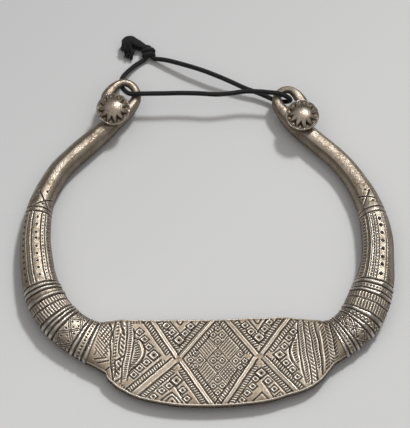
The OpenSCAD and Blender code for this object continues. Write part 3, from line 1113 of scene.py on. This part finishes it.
    def _hatch(self, relief: Relief, corner: np.ndarray, run: np.ndarray, over: np.ndarray) -> None:
        """Cuts close parallel lines into one field of the lozenge.

        Args:
            relief: The plate's relief.
            corner: The field's corner.
            run: Its side that the lines follow.
            over: Its other side.
        """
        for k in range(self.hatch_lines):
            start = corner + over * (k + 0.7) / (self.hatch_lines + 0.4) + 0.12 * run
            relief.cut((tuple(start), tuple(start + self.hatch_length * run)), self.hatch_groove)

    def _rim(self, relief: Relief, sections: Sections) -> None:
        """Ends the ornament at a thin raised lip around the plate's edge.

        Args:
            relief: The plate's relief.
            sections: The plate's rings of points.
        """
        edge = sections.radius * math.pi / 2 - np.abs(sections.across)
        relief.height *= 1 - step_up((self.rim_width - edge) / 0.4)
        relief.height -= self.rim_lip.depth * hump(2 * (edge - self.rim_lip_at) / self.rim_lip.width)


@dataclass(frozen=True)
class Collar:
    """The silver ring: the plate, and an arm on each side of it, plain above and chased below.

    Splits and ends are row numbers of the section table. The gains say how strongly sunk and deep places
    darken with patina, how strongly down-facing places darken with painted shade and some tarnish, and
    how strongly worn and high ones shine.
    """

    path: CollarPath
    left_split: float = 18.55
    plate_ends: tuple[float, float] = (28.03, 43.52)
    right_split: float = 52.35
    arm_step: float = 0.25
    arm_sides: int = 172
    plate_step: float = 0.29
    plate_sides: int = 240
    plain_step: float = 0.6
    left_facets: int = 12
    right_facets: int = 6
    facet_share: float = 0.4
    dent_depth: float = 0.07
    dent_size: float = 17
    tarnish_reach: int = 5
    tarnish_gain: float = 3.8
    deep_gain: float = 1.1
    # Down-facing sides take painted shade, with some tarnish: from this height of the normal down, at this
    # gain
    under_from: float = 0.62
    under_gain: float = 1.3
    polish_reach: int = 3
    polish_gain: float = 5
    high_from: float = 0.18
    high_gain: float = 0.8

    def build(self) -> list[bpy.types.Object]:
        """Makes the three pieces of the ring.

        Returns:
            The pieces, the first of which replaces the solid collar.
        """
        last = float(len(self.path.rows) - 1)
        low, high = self.plate_ends
        evenly = self.path.evenly
        plate = evenly(low, high, self.plate_step)
        left_plain = evenly(0.0, self.left_split, self.plain_step)
        left_chased = evenly(self.left_split, low, self.arm_step)
        right_chased = evenly(high, self.right_split, self.arm_step)
        right_plain = evenly(self.right_split, last, self.plain_step)
        spans = (
            ("collar_plate", plate, self.plate_sides),
            ("collar_left_arm", np.concatenate([left_plain, left_chased[1:]]), self.arm_sides),
            ("collar_right_arm", np.concatenate([right_chased, right_plain[1:]]), self.arm_sides),
        )
        pieces = []
        for name, places, sides in spans:
            sections = self.path.sections(places, sides)
            pieces.append(self._skin(name, sections, self._relief(name, sections)))
        return pieces

    def dress(
        self,
        pieces: list[bpy.types.Object],
        plate_silver: bpy.types.Material,
        ring_silver: bpy.types.Material,
    ) -> None:
        """Gives the plate and the arms their silver.

        Args:
            pieces: The three pieces, with the plate first.
            plate_silver: The plate's material.
            ring_silver: The arms' material.
        """
        plate, *arms = pieces
        dress_piece(plate, plate_silver, ("collar",))
        for arm in arms:
            dress_piece(arm, ring_silver)

    def _relief(self, name: str, sections: Sections) -> np.ndarray:
        """Carves the ornament of one piece.

        Args:
            name: Name of the piece.
            sections: Its rings of points.

        Returns:
            The height at each point.
        """
        if name == "collar_plate":
            return PlateOrnament().carve(sections)
        if name == "collar_left_arm":
            return LEFT_ORNAMENT.carve(self.path, sections)
        return RIGHT_ORNAMENT.carve(self.path, sections)

    def _facets(self, name: str, sections: Sections) -> np.ndarray:
        """How the hammered flats of the round arms differ from a round section.

        Args:
            name: Name of the piece.
            sections: Its rings of points.

        Returns:
            The flats' height at each point: below 0 in a flat's middle, and above 0 at its edges.
        """
        count = self.left_facets if "left" in name else self.right_facets
        width = math.tau / count
        angle = sections.across / np.maximum(sections.radius, 1e-6)
        from_middle = (angle / width + 0.5) % 1 - 0.5
        flat = math.cos(width / 2) / np.cos(from_middle * width) - (1 + math.cos(width / 2)) / 2
        squareness = spline(self.path.rows, sections.places)[:, 5:6]
        round_share = np.clip(1 - (squareness - 2) / 0.5, 0, 1)
        return self.facet_share * round_share * sections.radius * flat

    def _skin(self, name: str, sections: Sections, height: np.ndarray) -> bpy.types.Object:
        """Turns rings and relief into a closed mesh.

        Args:
            name: Name of the piece.
            sections: Its rings of points.
            height: The relief at each point.

        Returns:
            The piece.
        """
        facets = self._facets(name, sections)
        dents = self.dent_depth * waviness(sections.run, sections.across, self.dent_size, SEED + 9)
        points = sections.points + (height + facets + dents)[..., None] * sections.normals
        sunk = softened(height, self.tarnish_reach) - height
        deep = np.clip(-0.1 - height, 0, 1)
        # Down-facing sides: painted shade, with some tarnish
        under = np.clip(self.under_from - sections.normals[..., 2], 0, 1)
        tarnish_and_shade = self.tarnish_gain * sunk + self.deep_gain * deep + self.under_gain * under
        worn = height + facets
        high = np.clip(height - self.high_from, 0, 1)
        polished = self.polish_gain * (worn - softened(worn, self.polish_reach)) + self.high_gain * high
        return mesh_piece(
            name,
            points,
            closed_faces(*height.shape),
            flat_faces=2,
            patina_and_shade=np.clip(tarnish_and_shade, 0, 1),
            crest=np.clip(polished, 0, 1),
        )


@dataclass(frozen=True)
class Button:
    """A domed button with a rolled rim and a star of pointed petals.

    The notch and the petal's length are shares of the dome's radius, and the tilt is in degrees.
    """

    name: str
    node: str
    place: Point3
    tilt: Point
    radius: float = 8.1
    rim: float = 1.1
    rim_width: float = 0.7
    dome_height: float = 3.2
    petals: int = 11
    notch: float = 0.57
    petal_length: float = 0.39
    petal_ridge: float = 0.3
    cut_depth: float = 0.55
    cut_slope: float = 0.12
    rim_height: float = 0.3
    # Painted shade on the rim's outer side and underside
    skirt_shade: float = 0.4
    rings: int = 84
    sides: int = 264

    def build(self) -> bpy.types.Object:
        """Makes the button.

        Returns:
            The button, in place.
        """
        dome_r = self.radius - self.rim_width
        r = (self.radius * np.sin(np.linspace(0.004, math.pi / 2, self.rings)))[:, None]
        theta = (math.tau * np.arange(self.sides) / self.sides)[None, :]
        petal = np.abs((theta * self.petals / math.tau + 0.5) % 1 - 0.5) * 2
        star = dome_r * (self.notch + self.petal_length * petal)
        cut = step_up((r - star) / 0.4 + 0.3) * step_up((dome_r * 0.97 - r) / 0.3)

        wall = np.clip(1.4 - 0.45 * (r - star), 0.3, 1)
        patina_and_shade = np.clip(cut * wall + 0.9 * hump((r - dome_r) / 0.35), 0, 1)
        outer = step_up((r / dome_r - 0.5) / 0.3)
        on_dome = (0.3 + 0.4 * outer * petal**3) * (1 - cut) * (r < dome_r)
        shine = np.clip(on_dome + hump((r - self.radius + 0.45) / 0.5), 0, 1)

        edge_r = self.radius + np.array([0.0, -0.1, -0.7])[:, None]
        edge_z = np.array([self.rim * 0.45, 0.12, 0.0])[:, None]
        flat = np.ones((len(edge_z), self.sides))
        edge = np.stack([edge_r * np.cos(theta), edge_r * np.sin(theta), edge_z * flat], axis=-1)
        points = np.concatenate([self._top(r, theta, petal, cut), edge]).reshape(-1, 3)
        tilt_x, tilt_y = (math.radians(angle) for angle in self.tilt)
        turn = np.array(Euler((tilt_x, tilt_y, 0)).to_matrix())
        return mesh_piece(
            self.name,
            points @ turn.T + np.array(self.place) + OFFSET,
            closed_faces(self.rings + len(flat), self.sides),
            flat_faces=1,
            # The rim's outer side and underside get painted shade
            patina_and_shade=np.concatenate([patina_and_shade, self.skirt_shade * flat]),
            crest=np.concatenate([shine, 0 * flat]),
        )

    def dress(self, piece: bpy.types.Object, material: bpy.types.Material) -> None:
        """Gives the button its silver."""
        dress_piece(piece, material, (self.node,))

    def _top(self, r: np.ndarray, theta: np.ndarray, petal: np.ndarray, cut: np.ndarray) -> np.ndarray:
        """The button's upper face.

        Args:
            r: Distance of each ring from the middle.
            theta: Angle of each point of a ring.
            petal: 1 on the middle of each petal, and 0 between two.
            cut: 1 where a point is in a cut between petals.

        Returns:
            The points, before the button is tilted.
        """
        dome_r = self.radius - self.rim_width
        ball = (dome_r**2 + self.dome_height**2) / (2 * self.dome_height)
        arch = np.sqrt(np.maximum(ball**2 - np.minimum(r, dome_r) ** 2, 0))
        dome = self.rim + arch - (ball - self.dome_height)
        floor = self.rim - 0.05 + self.cut_slope * np.abs(dome_r * 0.8 - r)
        ridged = dome + self.petal_ridge * (petal - 0.7) * step_up((r / dome_r - 0.55) / 0.3)
        z = ridged + cut * (np.minimum(floor, ridged - self.cut_depth) - ridged)
        z += self.rim_height * hump((r - self.radius + 0.5) / 0.55)
        z -= self.rim_height * hump((r - dome_r) / 0.3)
        x, y = r * np.cos(theta), r * np.sin(theta)
        return np.stack([x, y, z + 0.03 * waviness(x, y, 5, SEED + 11)], axis=-1)


def tube(
    line: np.ndarray,
    radius: np.ndarray,
    sides: int,
    braid: float = 0.0,
    flatten: float = 1.0,
) -> Mesh:
    """A closed tube around a line, with an optional braided surface.

    Args:
        line: The middle line's points.
        radius: Radius at each point.
        sides: Points in each ring.
        braid: Height of the braid's bumps.
        flatten: Height of the tube against its width.

    Returns:
        The tube's points and faces.
    """
    along = unit(np.gradient(line, axis=0))
    side = np.cross(along, (0, 0, 1.0))
    weak = np.linalg.norm(side, axis=1) < 0.2
    side[weak] = np.cross(along[weak], (0, 1.0, 0.3))
    side = unit(side)
    for k in range(1, len(side)):
        carried = side[k - 1] - along[k] * float(side[k - 1] @ along[k])
        side[k] = carried / max(float(np.linalg.norm(carried)), 1e-9)
    up = np.cross(side, along)
    theta = (math.tau * np.arange(sides) / sides)[None, :]
    around = BRAID_STRANDS * theta
    lay = math.tau / BRAID_PITCH * run_along(line)[:, None]
    weave = np.cos(around + lay) * np.cos(around - lay)
    reach = radius[:, None] - 0.3 * braid + 0.7 * braid * weave
    points = (
        line[:, None]
        + (reach * np.cos(theta))[..., None] * side[:, None]
        + (flatten * reach * np.sin(theta))[..., None] * up[:, None]
    )
    return points.reshape(-1, 3), closed_faces(len(line), sides)


def joined(parts: list[Mesh]) -> Mesh:
    """Several meshes as one.

    Args:
        parts: Points and faces of each mesh.

    Returns:
        All points and faces.
    """
    points, faces, start = [], [], 0
    for part_points, part_faces in parts:
        points.append(part_points)
        faces.extend([[corner + start for corner in face] for face in part_faces])
        start += len(part_points)
    return np.concatenate(points), faces


@dataclass(frozen=True)
class Tail:
    """A cut end of the cord that frays into loose threads.

    The thickness is half of its width at the knot, and the spread is half of its width at the end. The
    threads start to part at a share of its length.
    """

    name: str
    spine: Curve3
    spread: float
    thickness: float
    threads: int
    loose_from: float
    seed: int
    core_share: float = 0.8
    core_swell: tuple[Point, ...] = ((0.0, 0.6), (0.2, 0.95), (0.55, 1.0), (0.8, 0.6))
    core_braid: float = 0.12
    core_flatness: float = 0.62
    thread_sides: int = 5
    thinnest: float = 0.15
    thickest: float = 0.26
    clearance: float = 0.35

    def build(self) -> bpy.types.Object:
        """Makes the tail.

        Returns:
            The tail, in place.
        """
        rng = random.Random(self.seed)
        rows = np.array(self.spine, float) + OFFSET
        line = spline(rows, np.linspace(0, len(rows) - 1, 48))
        share = np.linspace(0, 1, len(line))
        along = unit(np.gradient(line, axis=0))
        side = unit(np.cross(along, (0, 0, 1.0)))
        stop = int(self.core_share * len(line))
        core = self.thickness * np.interp(share, *zip(*self.core_swell))
        parts = [tube(line[:stop], core[:stop], 24, self.core_braid, self.core_flatness)]
        for _ in range(self.threads):
            strand = self._thread(rng, share, line, side)
            radius = np.full(len(strand), rng.uniform(self.thinnest, self.thickest))
            parts.append(tube(strand, radius, self.thread_sides))
        return mesh_piece(self.name, *joined(parts))

    def _thread(
        self,
        rng: random.Random,
        share: np.ndarray,
        line: np.ndarray,
        side: np.ndarray,
    ) -> np.ndarray:
        """One loose thread.

        Args:
            rng: The tail's random numbers.
            share: Share of the tail's length at each point of its middle line.
            line: The middle line's points.
            side: The sideways direction at each of them.

        Returns:
            The thread's points.
        """
        angle = rng.uniform(0, math.tau)
        reach = math.sqrt(rng.random())
        first = rng.uniform(self.loose_from - 0.2, self.loose_from + 0.25)
        t = np.linspace(max(first, 0.0), rng.uniform(0.7, 1.0), 12)
        opened = np.clip((t - self.loose_from) / (1 - self.loose_from), 0, 1)[:, None]
        width = self.thickness + (self.spread - self.thickness) * opened
        bend = np.linspace(0, rng.uniform(1.5, 5), len(t)) + rng.uniform(0, math.tau)
        curl = 0.65 * opened * np.sin(bend)[:, None]
        aside = reach * math.cos(angle) * width + curl
        lift = reach * math.sin(angle) * 1.1 + 0.6 * curl
        strand = columns_at(t, share, line) + columns_at(t, share, side) * aside
        strand = strand + np.array((0, 0, 1.0)) * lift
        strand[:, 2] = np.maximum(strand[:, 2], self.clearance)
        return strand


@dataclass(frozen=True)
class TieCord:
    """The braided cord through both eyes, its knot and its two frayed tails."""

    nodes: tuple[str, ...] = ("tie_cord", "knot", "upper_tail", "lower_tail")
    diameter: float = 2.3
    ring_step: float = 0.24
    sides: int = 28
    braid: float = 0.11
    knot_middle: Point3 = (-28.75, 103.2, 2.45)
    knot_heading: Point3 = (-0.9, 4.6, 0.35)
    knot_length: float = 2.3
    knot_width: float = 2.45
    knot_height: float = 1.3
    knot_turns: Point = (-0.05, 1.85)
    wrap_radius: float = 1.12
    first_lead: Curve3 = (
        (-29.6, 101.0, 2.3), (-27.9, 103.4, 2.9), (-28.4, 105.6, 3.0), (-30.4, 106.1, 3.0),
    )
    last_lead: Curve3 = (
        (-27.0, 101.2, 2.2), (-28.6, 102.6, 2.2), (-29.6, 103.8, 2.2), (-30.8, 104.6, 2.2),
    )
    upper_tail: Tail = Tail(
        name="upper_tail_fray",
        spine=(
            (-30.4, 106.1, 3.0), (-32.9, 107.1, 3.6), (-35.2, 108.2, 4.1), (-37.4, 109.4, 4.3),
            (-38.9, 108.2, 4.3), (-39.6, 105.8, 3.9), (-39.9, 103.0, 3.3),
        ),
        spread=2.7,
        thickness=2.1,
        threads=170,
        loose_from=0.5,
        seed=SEED + 21,
    )
    lower_tail: Tail = Tail(
        name="lower_tail_fray",
        spine=(
            (-30.8, 104.6, 2.2), (-32.9, 105.7, 1.9), (-34.8, 106.5, 1.8), (-36.6, 105.9, 1.8),
            (-37.6, 103.6, 1.7), (-38.2, 100.2, 1.4),
        ),
        spread=2.2,
        thickness=1.5,
        threads=130,
        loose_from=0.4,
        seed=SEED + 22,
    )

    def route(self) -> np.ndarray:
        """Lays the middle line through its listed points.

        Returns:
            Its points, evenly spaced, in millimetres.
        """
        rows = np.array(CORD_POINTS, float) + OFFSET
        fine = spline(rows, np.linspace(0, len(rows) - 1, 4000))
        run = run_along(fine)
        even = np.linspace(0, run[-1], int(run[-1] / self.ring_step) + 1)
        return columns_at(even, run, fine)

    def build(self) -> list[bpy.types.Object]:
        """Returns:
            The cord, the knot, the upper tail and the lower tail.
        """
        line = self.route()
        points, faces = tube(line, np.full(len(line), self.diameter / 2), self.sides, self.braid)
        cord = mesh_piece("tie_cord_braid", points, faces)
        knot = self._knot()
        upper = self.upper_tail.build()
        lower = self.lower_tail.build()
        return [cord, knot, upper, lower]

    def dress(self, pieces: list[bpy.types.Object], material: bpy.types.Material) -> None:
        """Gives the cord, the knot and the two tails the black braid."""
        for piece, node in zip(pieces, self.nodes):
            dress_piece(piece, material, (node,))

    def _knot(self) -> bpy.types.Object:
        """Makes an overhand knot drawn tight: two wraps around the two strands that run through it.

        Returns:
            The knot, in place.
        """
        middle = np.array(self.knot_middle) + OFFSET
        along = unit(np.array(self.knot_heading))
        side = unit(np.cross(along, (0, 0, 1.0)))
        up = np.cross(side, along)
        turn = np.linspace(*self.knot_turns, 110)[:, None]
        angle = math.tau * turn
        from_middle = turn - 0.9
        swell = 1 - 0.16 * from_middle**2
        wraps = (
            middle
            + along * (self.knot_length * from_middle + 0.5 * np.sin(angle + 0.6))
            + side * self.knot_width * swell * np.cos(angle)
            + up * self.knot_height * np.sin(angle)
        )
        strands = [tube(wraps, np.full(len(wraps), self.wrap_radius), 24, self.braid)]
        starts = (CORD_POINTS[1::-1], CORD_POINTS[-2:])
        for start, lead in zip(starts, (self.first_lead, self.last_lead)):
            rows = np.array(start + lead, float) + OFFSET
            line = spline(rows, np.linspace(1, len(rows) - 1, 60))
            strands.append(tube(line, np.full(len(line), self.diameter / 2), 22, self.braid))
        points, faces = joined(strands)
        points[:, 2] = np.maximum(points[:, 2], 0.12)
        return mesh_piece("knot_wraps", points, faces)


class NodeKit:
    """Adds nodes to a tree and joins them with short calls."""

    def __init__(self, tree: Tree) -> None:
        """Keeps the tree that nodes are added to."""
        self.tree = tree

    def add(self, kind: str, inputs: dict | None = None, **settings: object) -> bpy.types.Node:
        """Adds a node.

        Args:
            kind: The node's type name.
            inputs: Values or sockets for its inputs, by name or number.
            settings: Other attributes of the node.

        Returns:
            The new node.
        """
        node = self.tree.nodes.new(kind)
        for key, value in settings.items():
            setattr(node, key, value)
        self.fill(node, inputs or {})
        return node

    def fill(self, node: bpy.types.Node, inputs: dict) -> None:
        """Links sockets to a node's inputs, or sets plain values on them.

        Args:
            node: The node.
            inputs: Values or sockets, by the input's name or number.
        """
        for key, value in inputs.items():
            if isinstance(value, Socket):
                self.tree.links.new(value, node.inputs[key])
            else:
                node.inputs[key].default_value = value

    def group(self, tree: Tree, inputs: dict) -> bpy.types.Node:
        """Places a node group and sets its inputs.

        Args:
            tree: The group's tree.
            inputs: Values or sockets, by the input's name.

        Returns:
            The group's node.
        """
        node = self.add("ShaderNodeGroup", node_tree=tree)
        self.fill(node, inputs)
        return node

    def math(self, operation: str, a: object, b: object, clamp: bool = False) -> Socket:
        """The result of a sum on two values or sockets."""
        return self.add("ShaderNodeMath", {0: a, 1: b}, operation=operation, use_clamp=clamp).outputs[0]

    def times(self, a: object, b: object) -> Socket:
        """The product of two values or sockets."""
        return self.math("MULTIPLY", a, b)

    def mix(self, share: object, a: object, b: object) -> Socket:
        """A colour between two colours."""
        return self.add("ShaderNodeMix", {0: share, 6: a, 7: b}, data_type="RGBA").outputs[2]

    def ramp(self, value: object, start: Point, end: Point = (0.0, 1.0)) -> Socket:
        """Moves a value from one range to another, and holds it inside.

        Args:
            value: The value or socket.
            start: The first range's two ends.
            end: The other range's two ends.

        Returns:
            The moved value.
        """
        inputs = {"Value": value, "From Min": start[0], "From Max": start[1]}
        inputs.update({"To Min": end[0], "To Max": end[1]})
        return self.add("ShaderNodeMapRange", inputs, clamp=True).outputs["Result"]

    def noise(self, where: Socket, scale: object, detail: float, roughness: float = 0.5) -> Socket:
        """A cloudy value at each place."""
        inputs = {"Vector": where, "Scale": scale, "Detail": detail, "Roughness": roughness}
        return self.add("ShaderNodeTexNoise", inputs).outputs[0]

    def where(self) -> Socket:
        """Each point's place on its own piece."""
        return self.add("ShaderNodeTexCoord").outputs["Object"]


def new_group(
    name: str,
    inputs: dict[str, float],
    outputs: tuple[str, ...],
) -> tuple[Tree, NodeKit, dict[str, Socket]]:
    """An empty shader node group with number sockets.

    Args:
        name: Name of the group.
        inputs: Names and default values of its inputs.
        outputs: Names of its outputs.

    Returns:
        The group's tree, a kit for it and its inputs' sockets by name.
    """
    tree = bpy.data.node_groups.new(name, "ShaderNodeTree")
    for label, value in inputs.items():
        tree.interface.new_socket(label, in_out="INPUT", socket_type="NodeSocketFloat").default_value = value
    for label in outputs:
        tree.interface.new_socket(label, in_out="OUTPUT", socket_type="NodeSocketFloat")
    kit = NodeKit(tree)
    source = kit.add("NodeGroupInput")
    return tree, kit, {label: source.outputs[label] for label in inputs}


def new_material(name: str) -> tuple[bpy.types.Material, NodeKit, bpy.types.Node]:
    """An empty material.

    Args:
        name: Name of the material.

    Returns:
        The material, a kit for its nodes and its surface shader.
    """
    material = bpy.data.materials.new(name)
    material.use_nodes = True
    tree = material.node_tree
    return material, NodeKit(tree), tree.nodes["Principled BSDF"]


def tarnish_group() -> Tree:
    """A group that gives the dark of the cuts and the painted shade of down-facing sides, the cloudy tarnish
    and the worn, polished places.

    Returns:
        The group's tree.
    """
    inputs = {"Patina_And_Shade": 0.0, "Crest": 0.0, "Cloud Size": 90.0, "Grime": 0.5}
    tree, kit, given = new_group("Tarnish", inputs, ("Dark", "Cloud", "Polish"))
    where = kit.where()
    cloud = kit.ramp(kit.noise(where, given["Cloud Size"], 5.0, 0.62), (0.36, 0.66))
    speck = kit.ramp(kit.noise(where, 700.0, 4.0, 0.6), (0.42, 0.62))
    grime = kit.times(kit.times(cloud, speck), given["Grime"])
    # Patina of the hollows and painted shade of down-facing sides, speckled
    worn = kit.times(given["Patina_And_Shade"], kit.math("ADD", 0.72, kit.times(speck, 0.4)))
    dark = kit.math("MAXIMUM", worn, kit.times(grime, 0.55), clamp=True)
    rubbed = kit.times(given["Crest"], kit.math("ADD", 0.6, kit.times(speck, 0.5)))
    clean = kit.times(kit.math("SUBTRACT", 1.0, cloud), 0.2)
    polish = kit.math("MAXIMUM", rubbed, clean, clamp=True)
    dull = kit.math("SUBTRACT", 1.0, polish)
    kit.add("NodeGroupOutput", {"Dark": dark, "Cloud": dull, "Polish": polish})
    return tree


def wear_group() -> Tree:
    """A group that gives the height of fine scratches, hammer marks and pits.

    Returns:
        The group's tree.
    """
    tree, kit, given = new_group("HandWear", {"Scratches": 0.5, "Pits": 0.5}, ("Height",))
    where = kit.where()
    total: object = 0.0
    for turn, stretch in ((0.5, (900, 60, 400)), (2.1, (70, 1100, 500)), (1.3, (1500, 120, 300))):
        inputs = {"Vector": where, "Rotation": (0.0, 0.0, turn), "Scale": stretch}
        mapped = kit.add("ShaderNodeMapping", inputs).outputs[0]
        total = kit.math("ADD", total, kit.ramp(kit.noise(mapped, 1.0, 2.0), (0.58, 0.7)))
    scratches = kit.times(total, given["Scratches"])
    pitted = kit.times(kit.ramp(kit.noise(where, 1400.0, 3.0, 0.7), (0.3, 0.75)), given["Pits"])
    kit.add("NodeGroupOutput", {"Height": kit.math("SUBTRACT", pitted, scratches)})
    return tree


def fibre_group() -> Tree:
    """A group that gives the light and the height of short fibres on a braided cord.

    Returns:
        The group's tree.
    """
    tree, kit, given = new_group("Fibres", {"Size": 2600.0}, ("Light", "Height"))
    where = kit.where()
    fine = kit.noise(where, given["Size"], 3.0, 0.7)
    dusty = kit.noise(where, 260.0, 3.0)
    light = kit.times(kit.ramp(fine, (0.45, 0.75)), kit.ramp(dusty, (0.35, 0.7)))
    kit.add("NodeGroupOutput", {"Light": light, "Height": fine})
    return tree


@dataclass(frozen=True)
class TarnishedSilver:
    """Old silver: bright where it is handled, warm grey-brown elsewhere, dark in the cuts, and darkened with
    painted shade on down-facing sides.

    The wear's height is in metres, and polished and matt are the roughness of such places.
    """

    name: str
    grime: float
    cloud_size: float = 90.0
    pits: float = 0.5
    scratches: float = 0.6
    wear_height: float = 0.00012
    bright: Colour = (0.72, 0.685, 0.63, 1)
    dull: Colour = (0.31, 0.24, 0.166, 1)
    # Colour of the patina in the cuts, also painted on down-facing sides as shade
    dark: Colour = (0.036, 0.019, 0.0075, 1)
    polished: float = 0.31
    matt: float = 0.5

    def build(self, tarnish: Tree, wear: Tree) -> bpy.types.Material:
        """Makes the material.

        Args:
            tarnish: The group for tarnish.
            wear: The group for scratches and pits.

        Returns:
            The material.
        """
        material, kit, shader = new_material(self.name)
        worked = {
            label: kit.add("ShaderNodeAttribute", attribute_name=label.lower()).outputs["Fac"]
            for label in ("Patina_And_Shade", "Crest")
        }
        masks = kit.group(tarnish, {**worked, "Cloud Size": self.cloud_size, "Grime": self.grime}).outputs
        height = kit.group(wear, {"Scratches": self.scratches, "Pits": self.pits}).outputs["Height"]
        metal = kit.mix(masks["Cloud"], self.bright, self.dull)
        # The dark colour marks patina in the cuts, and painted shade on down-facing sides and rim undersides
        colour = kit.mix(masks["Dark"], metal, self.dark)
        metallic = kit.ramp(masks["Dark"], (0.0, 1.0), (1.0, 0.3))
        dull_share = kit.ramp(masks["Polish"], (0.0, 1.0), (self.matt, self.polished))
        rough = kit.math("ADD", dull_share, kit.times(masks["Dark"], 0.3), clamp=True)
        bump = kit.add("ShaderNodeBump", {"Strength": 0.35, "Distance": self.wear_height, "Height": height})
        looks = {
            "Base Color": colour,
            "Metallic": metallic,
            "Roughness": rough,
            "Specular IOR Level": 0.12,
            "Normal": bump.outputs["Normal"],
        }
        kit.fill(shader, looks)
        return material


SILVERS = (
    TarnishedSilver(
        "ring_silver",
        grime=1.05,
        cloud_size=130.0,
        pits=1.8,
        dull=(0.302, 0.245, 0.181, 1),
        polished=0.24,
        matt=0.38,
    ),
    TarnishedSilver("plate_silver", grime=0.55, cloud_size=60.0, matt=0.58),
    TarnishedSilver("button_silver", grime=1.2, cloud_size=260.0, polished=0.14, matt=0.3),
)


@dataclass(frozen=True)
class BlackCord:
    """Black braided cord, matt, with a few paler fibres."""

    name: str = "black_cord_braid"
    deep: Colour = (0.004, 0.004, 0.0045, 1)
    pale: Colour = (0.034, 0.033, 0.034, 1)
    roughness: float = 0.75
    fibre_height: float = 0.0002

    def build(self, fibres: Tree) -> bpy.types.Material:
        """Makes the material.

        Args:
            fibres: The group for fibres.

        Returns:
            The material.
        """
        material, kit, shader = new_material(self.name)
        fuzz = kit.group(fibres, {}).outputs
        colour = kit.mix(fuzz["Light"], self.deep, self.pale)
        relief = {"Strength": 0.6, "Distance": self.fibre_height, "Height": fuzz["Height"]}
        looks = {
            "Base Color": colour,
            "Roughness": self.roughness,
            "Sheen Weight": 0.08,
            "Specular IOR Level": 0.35,
            "Normal": kit.add("ShaderNodeBump", relief).outputs["Normal"],
        }
        kit.fill(shader, looks)
        return material


@dataclass(frozen=True)
class Studio:
    """The camera, the pale floor and the soft lights.

    The camera's target and distance are millimetres, and the rest is in metres, watts and degrees. The
    floor's colour is painted shade, darker at the back left and lighter at the front right, and the sky's
    colour changes from the horizon up.
    """

    target: Point3 = (-1.0, 18.6, 0.0)
    distance: float = 5000.0
    key_direction: Point3 = (0.375, 0.585, 1.0)
    key_power: float = 1.62
    key_width: float = 8.0
    key_colour: Point3 = (0.975, 0.985, 0.995)
    box_place: Point3 = (0.9, 1.5, 2.0)
    box_size: Point = (0.9, 0.6)
    box_power: float = 4.0
    floor_size: float = 3.0
    # Painted shade on the floor: its colour at the back left, at the front right, and where it changes
    floor_shaded: Colour = (0.585, 0.585, 0.59, 1)
    floor_lit: Colour = (0.695, 0.695, 0.695, 1)
    floor_change: Point = (-0.24, 0.0)
    horizon: Colour = (0.063, 0.06, 0.057, 1)
    overhead: Colour = (0.745, 0.73, 0.715, 1)
    sky_change: Point = (0.35, 0.95)

    def camera(self) -> None:
        """Sets the camera at the photograph's angle, with a long lens."""
        data = bpy.data.cameras.new("camera")
        tall = PHOTO_SIZE[1] * MM_PER_PIXEL
        data.sensor_width = 36.0
        data.lens = data.sensor_width * self.distance / tall
        data.clip_end = 100.0
        angle = math.radians(PHOTO_ELEVATION)
        back = Vector((0, -math.cos(angle), math.sin(angle)))
        camera = placed("camera", data)
        camera.location = (Vector(self.target) + back * self.distance) * MM
        camera.rotation_euler = back.to_track_quat("Z", "Y").to_euler()
        bpy.context.scene.camera = camera

    def floor(self) -> None:
        """Lays the pale floor, with painted shade towards the back left."""
        half = self.floor_size / 2
        mesh = bpy.data.meshes.new("floor")
        corners = [(-half, -half, 0), (half, -half, 0), (half, half, 0), (-half, half, 0)]
        mesh.from_pydata(corners, [], [[0, 1, 2, 3]])
        floor = placed("floor", mesh)
        material, kit, shader = new_material("pale_floor")
        place = kit.add("ShaderNodeSeparateXYZ", {0: kit.where()}).outputs
        # Painted light falloff: the floor darkens towards the back left
        painted_light_share = kit.ramp(kit.math("SUBTRACT", place["X"], place["Y"]), self.floor_change)
        colour = kit.mix(painted_light_share, self.floor_shaded, self.floor_lit)
        kit.fill(shader, {"Base Color": colour, "Roughness": 0.9})
        mesh.materials.append(material)

    def lights(self) -> None:
        """Sets a soft key light from the upper right, a box for reflections behind it, and the sky."""
        sun = bpy.data.lights.new("key", "SUN")
        sun.energy = self.key_power
        sun.angle = math.radians(self.key_width)
        sun.color = self.key_colour
        towards = Vector(self.key_direction).normalized()
        placed("key", sun).rotation_euler = towards.to_track_quat("Z", "Y").to_euler()

        box = bpy.data.lights.new("box_back", "AREA")
        box.shape = "RECTANGLE"
        box.size, box.size_y = self.box_size
        box.energy = self.box_power
        lamp = placed("box_back", box)
        lamp.location = self.box_place
        lamp.rotation_euler = Vector(self.box_place).to_track_quat("Z", "Y").to_euler()

        world = bpy.data.worlds.new("studio")
        world.use_nodes = True
        kit = NodeKit(world.node_tree)
        direction = kit.add("ShaderNodeTexCoord").outputs["Generated"]
        height = kit.add("ShaderNodeSeparateXYZ", {0: direction}).outputs["Z"]
        sky = kit.mix(kit.ramp(height, self.sky_change), self.horizon, self.overhead)
        kit.fill(world.node_tree.nodes["Background"], {"Color": sky, "Strength": 1.0})
        bpy.context.scene.world = world


def main() -> None:
    """Builds the studio, the cord and the collar in order, and reports each piece."""
    logging.basicConfig(level=logging.INFO, format="%(name)s: %(message)s")
    studio = Studio()
    studio.camera()
    black_cord = BlackCord().build(fibre_group())
    tie_cord = TieCord()
    tie_cord.dress(tie_cord.build(), black_cord)

    tarnish, wear = tarnish_group(), wear_group()
    ring_silver, plate_silver, button_silver = (finish.build(tarnish, wear) for finish in SILVERS)
    collar = Collar(CollarPath())
    collar.dress(collar.build(), plate_silver, ring_silver)
    buttons = (
        Button("left_button_star", "left_button", (-45.5, 67.8, 12.55), (4, -2)),
        Button("right_button_star", "right_button", (45.2, 64.5, 12.55), (-2, 3)),
    )
    for button in buttons:
        button.dress(button.build(), button_silver)

    studio.floor()
    studio.lights()
    bpy.context.scene.view_settings.view_transform = "Standard"


if __name__ == "__main__":
    main()
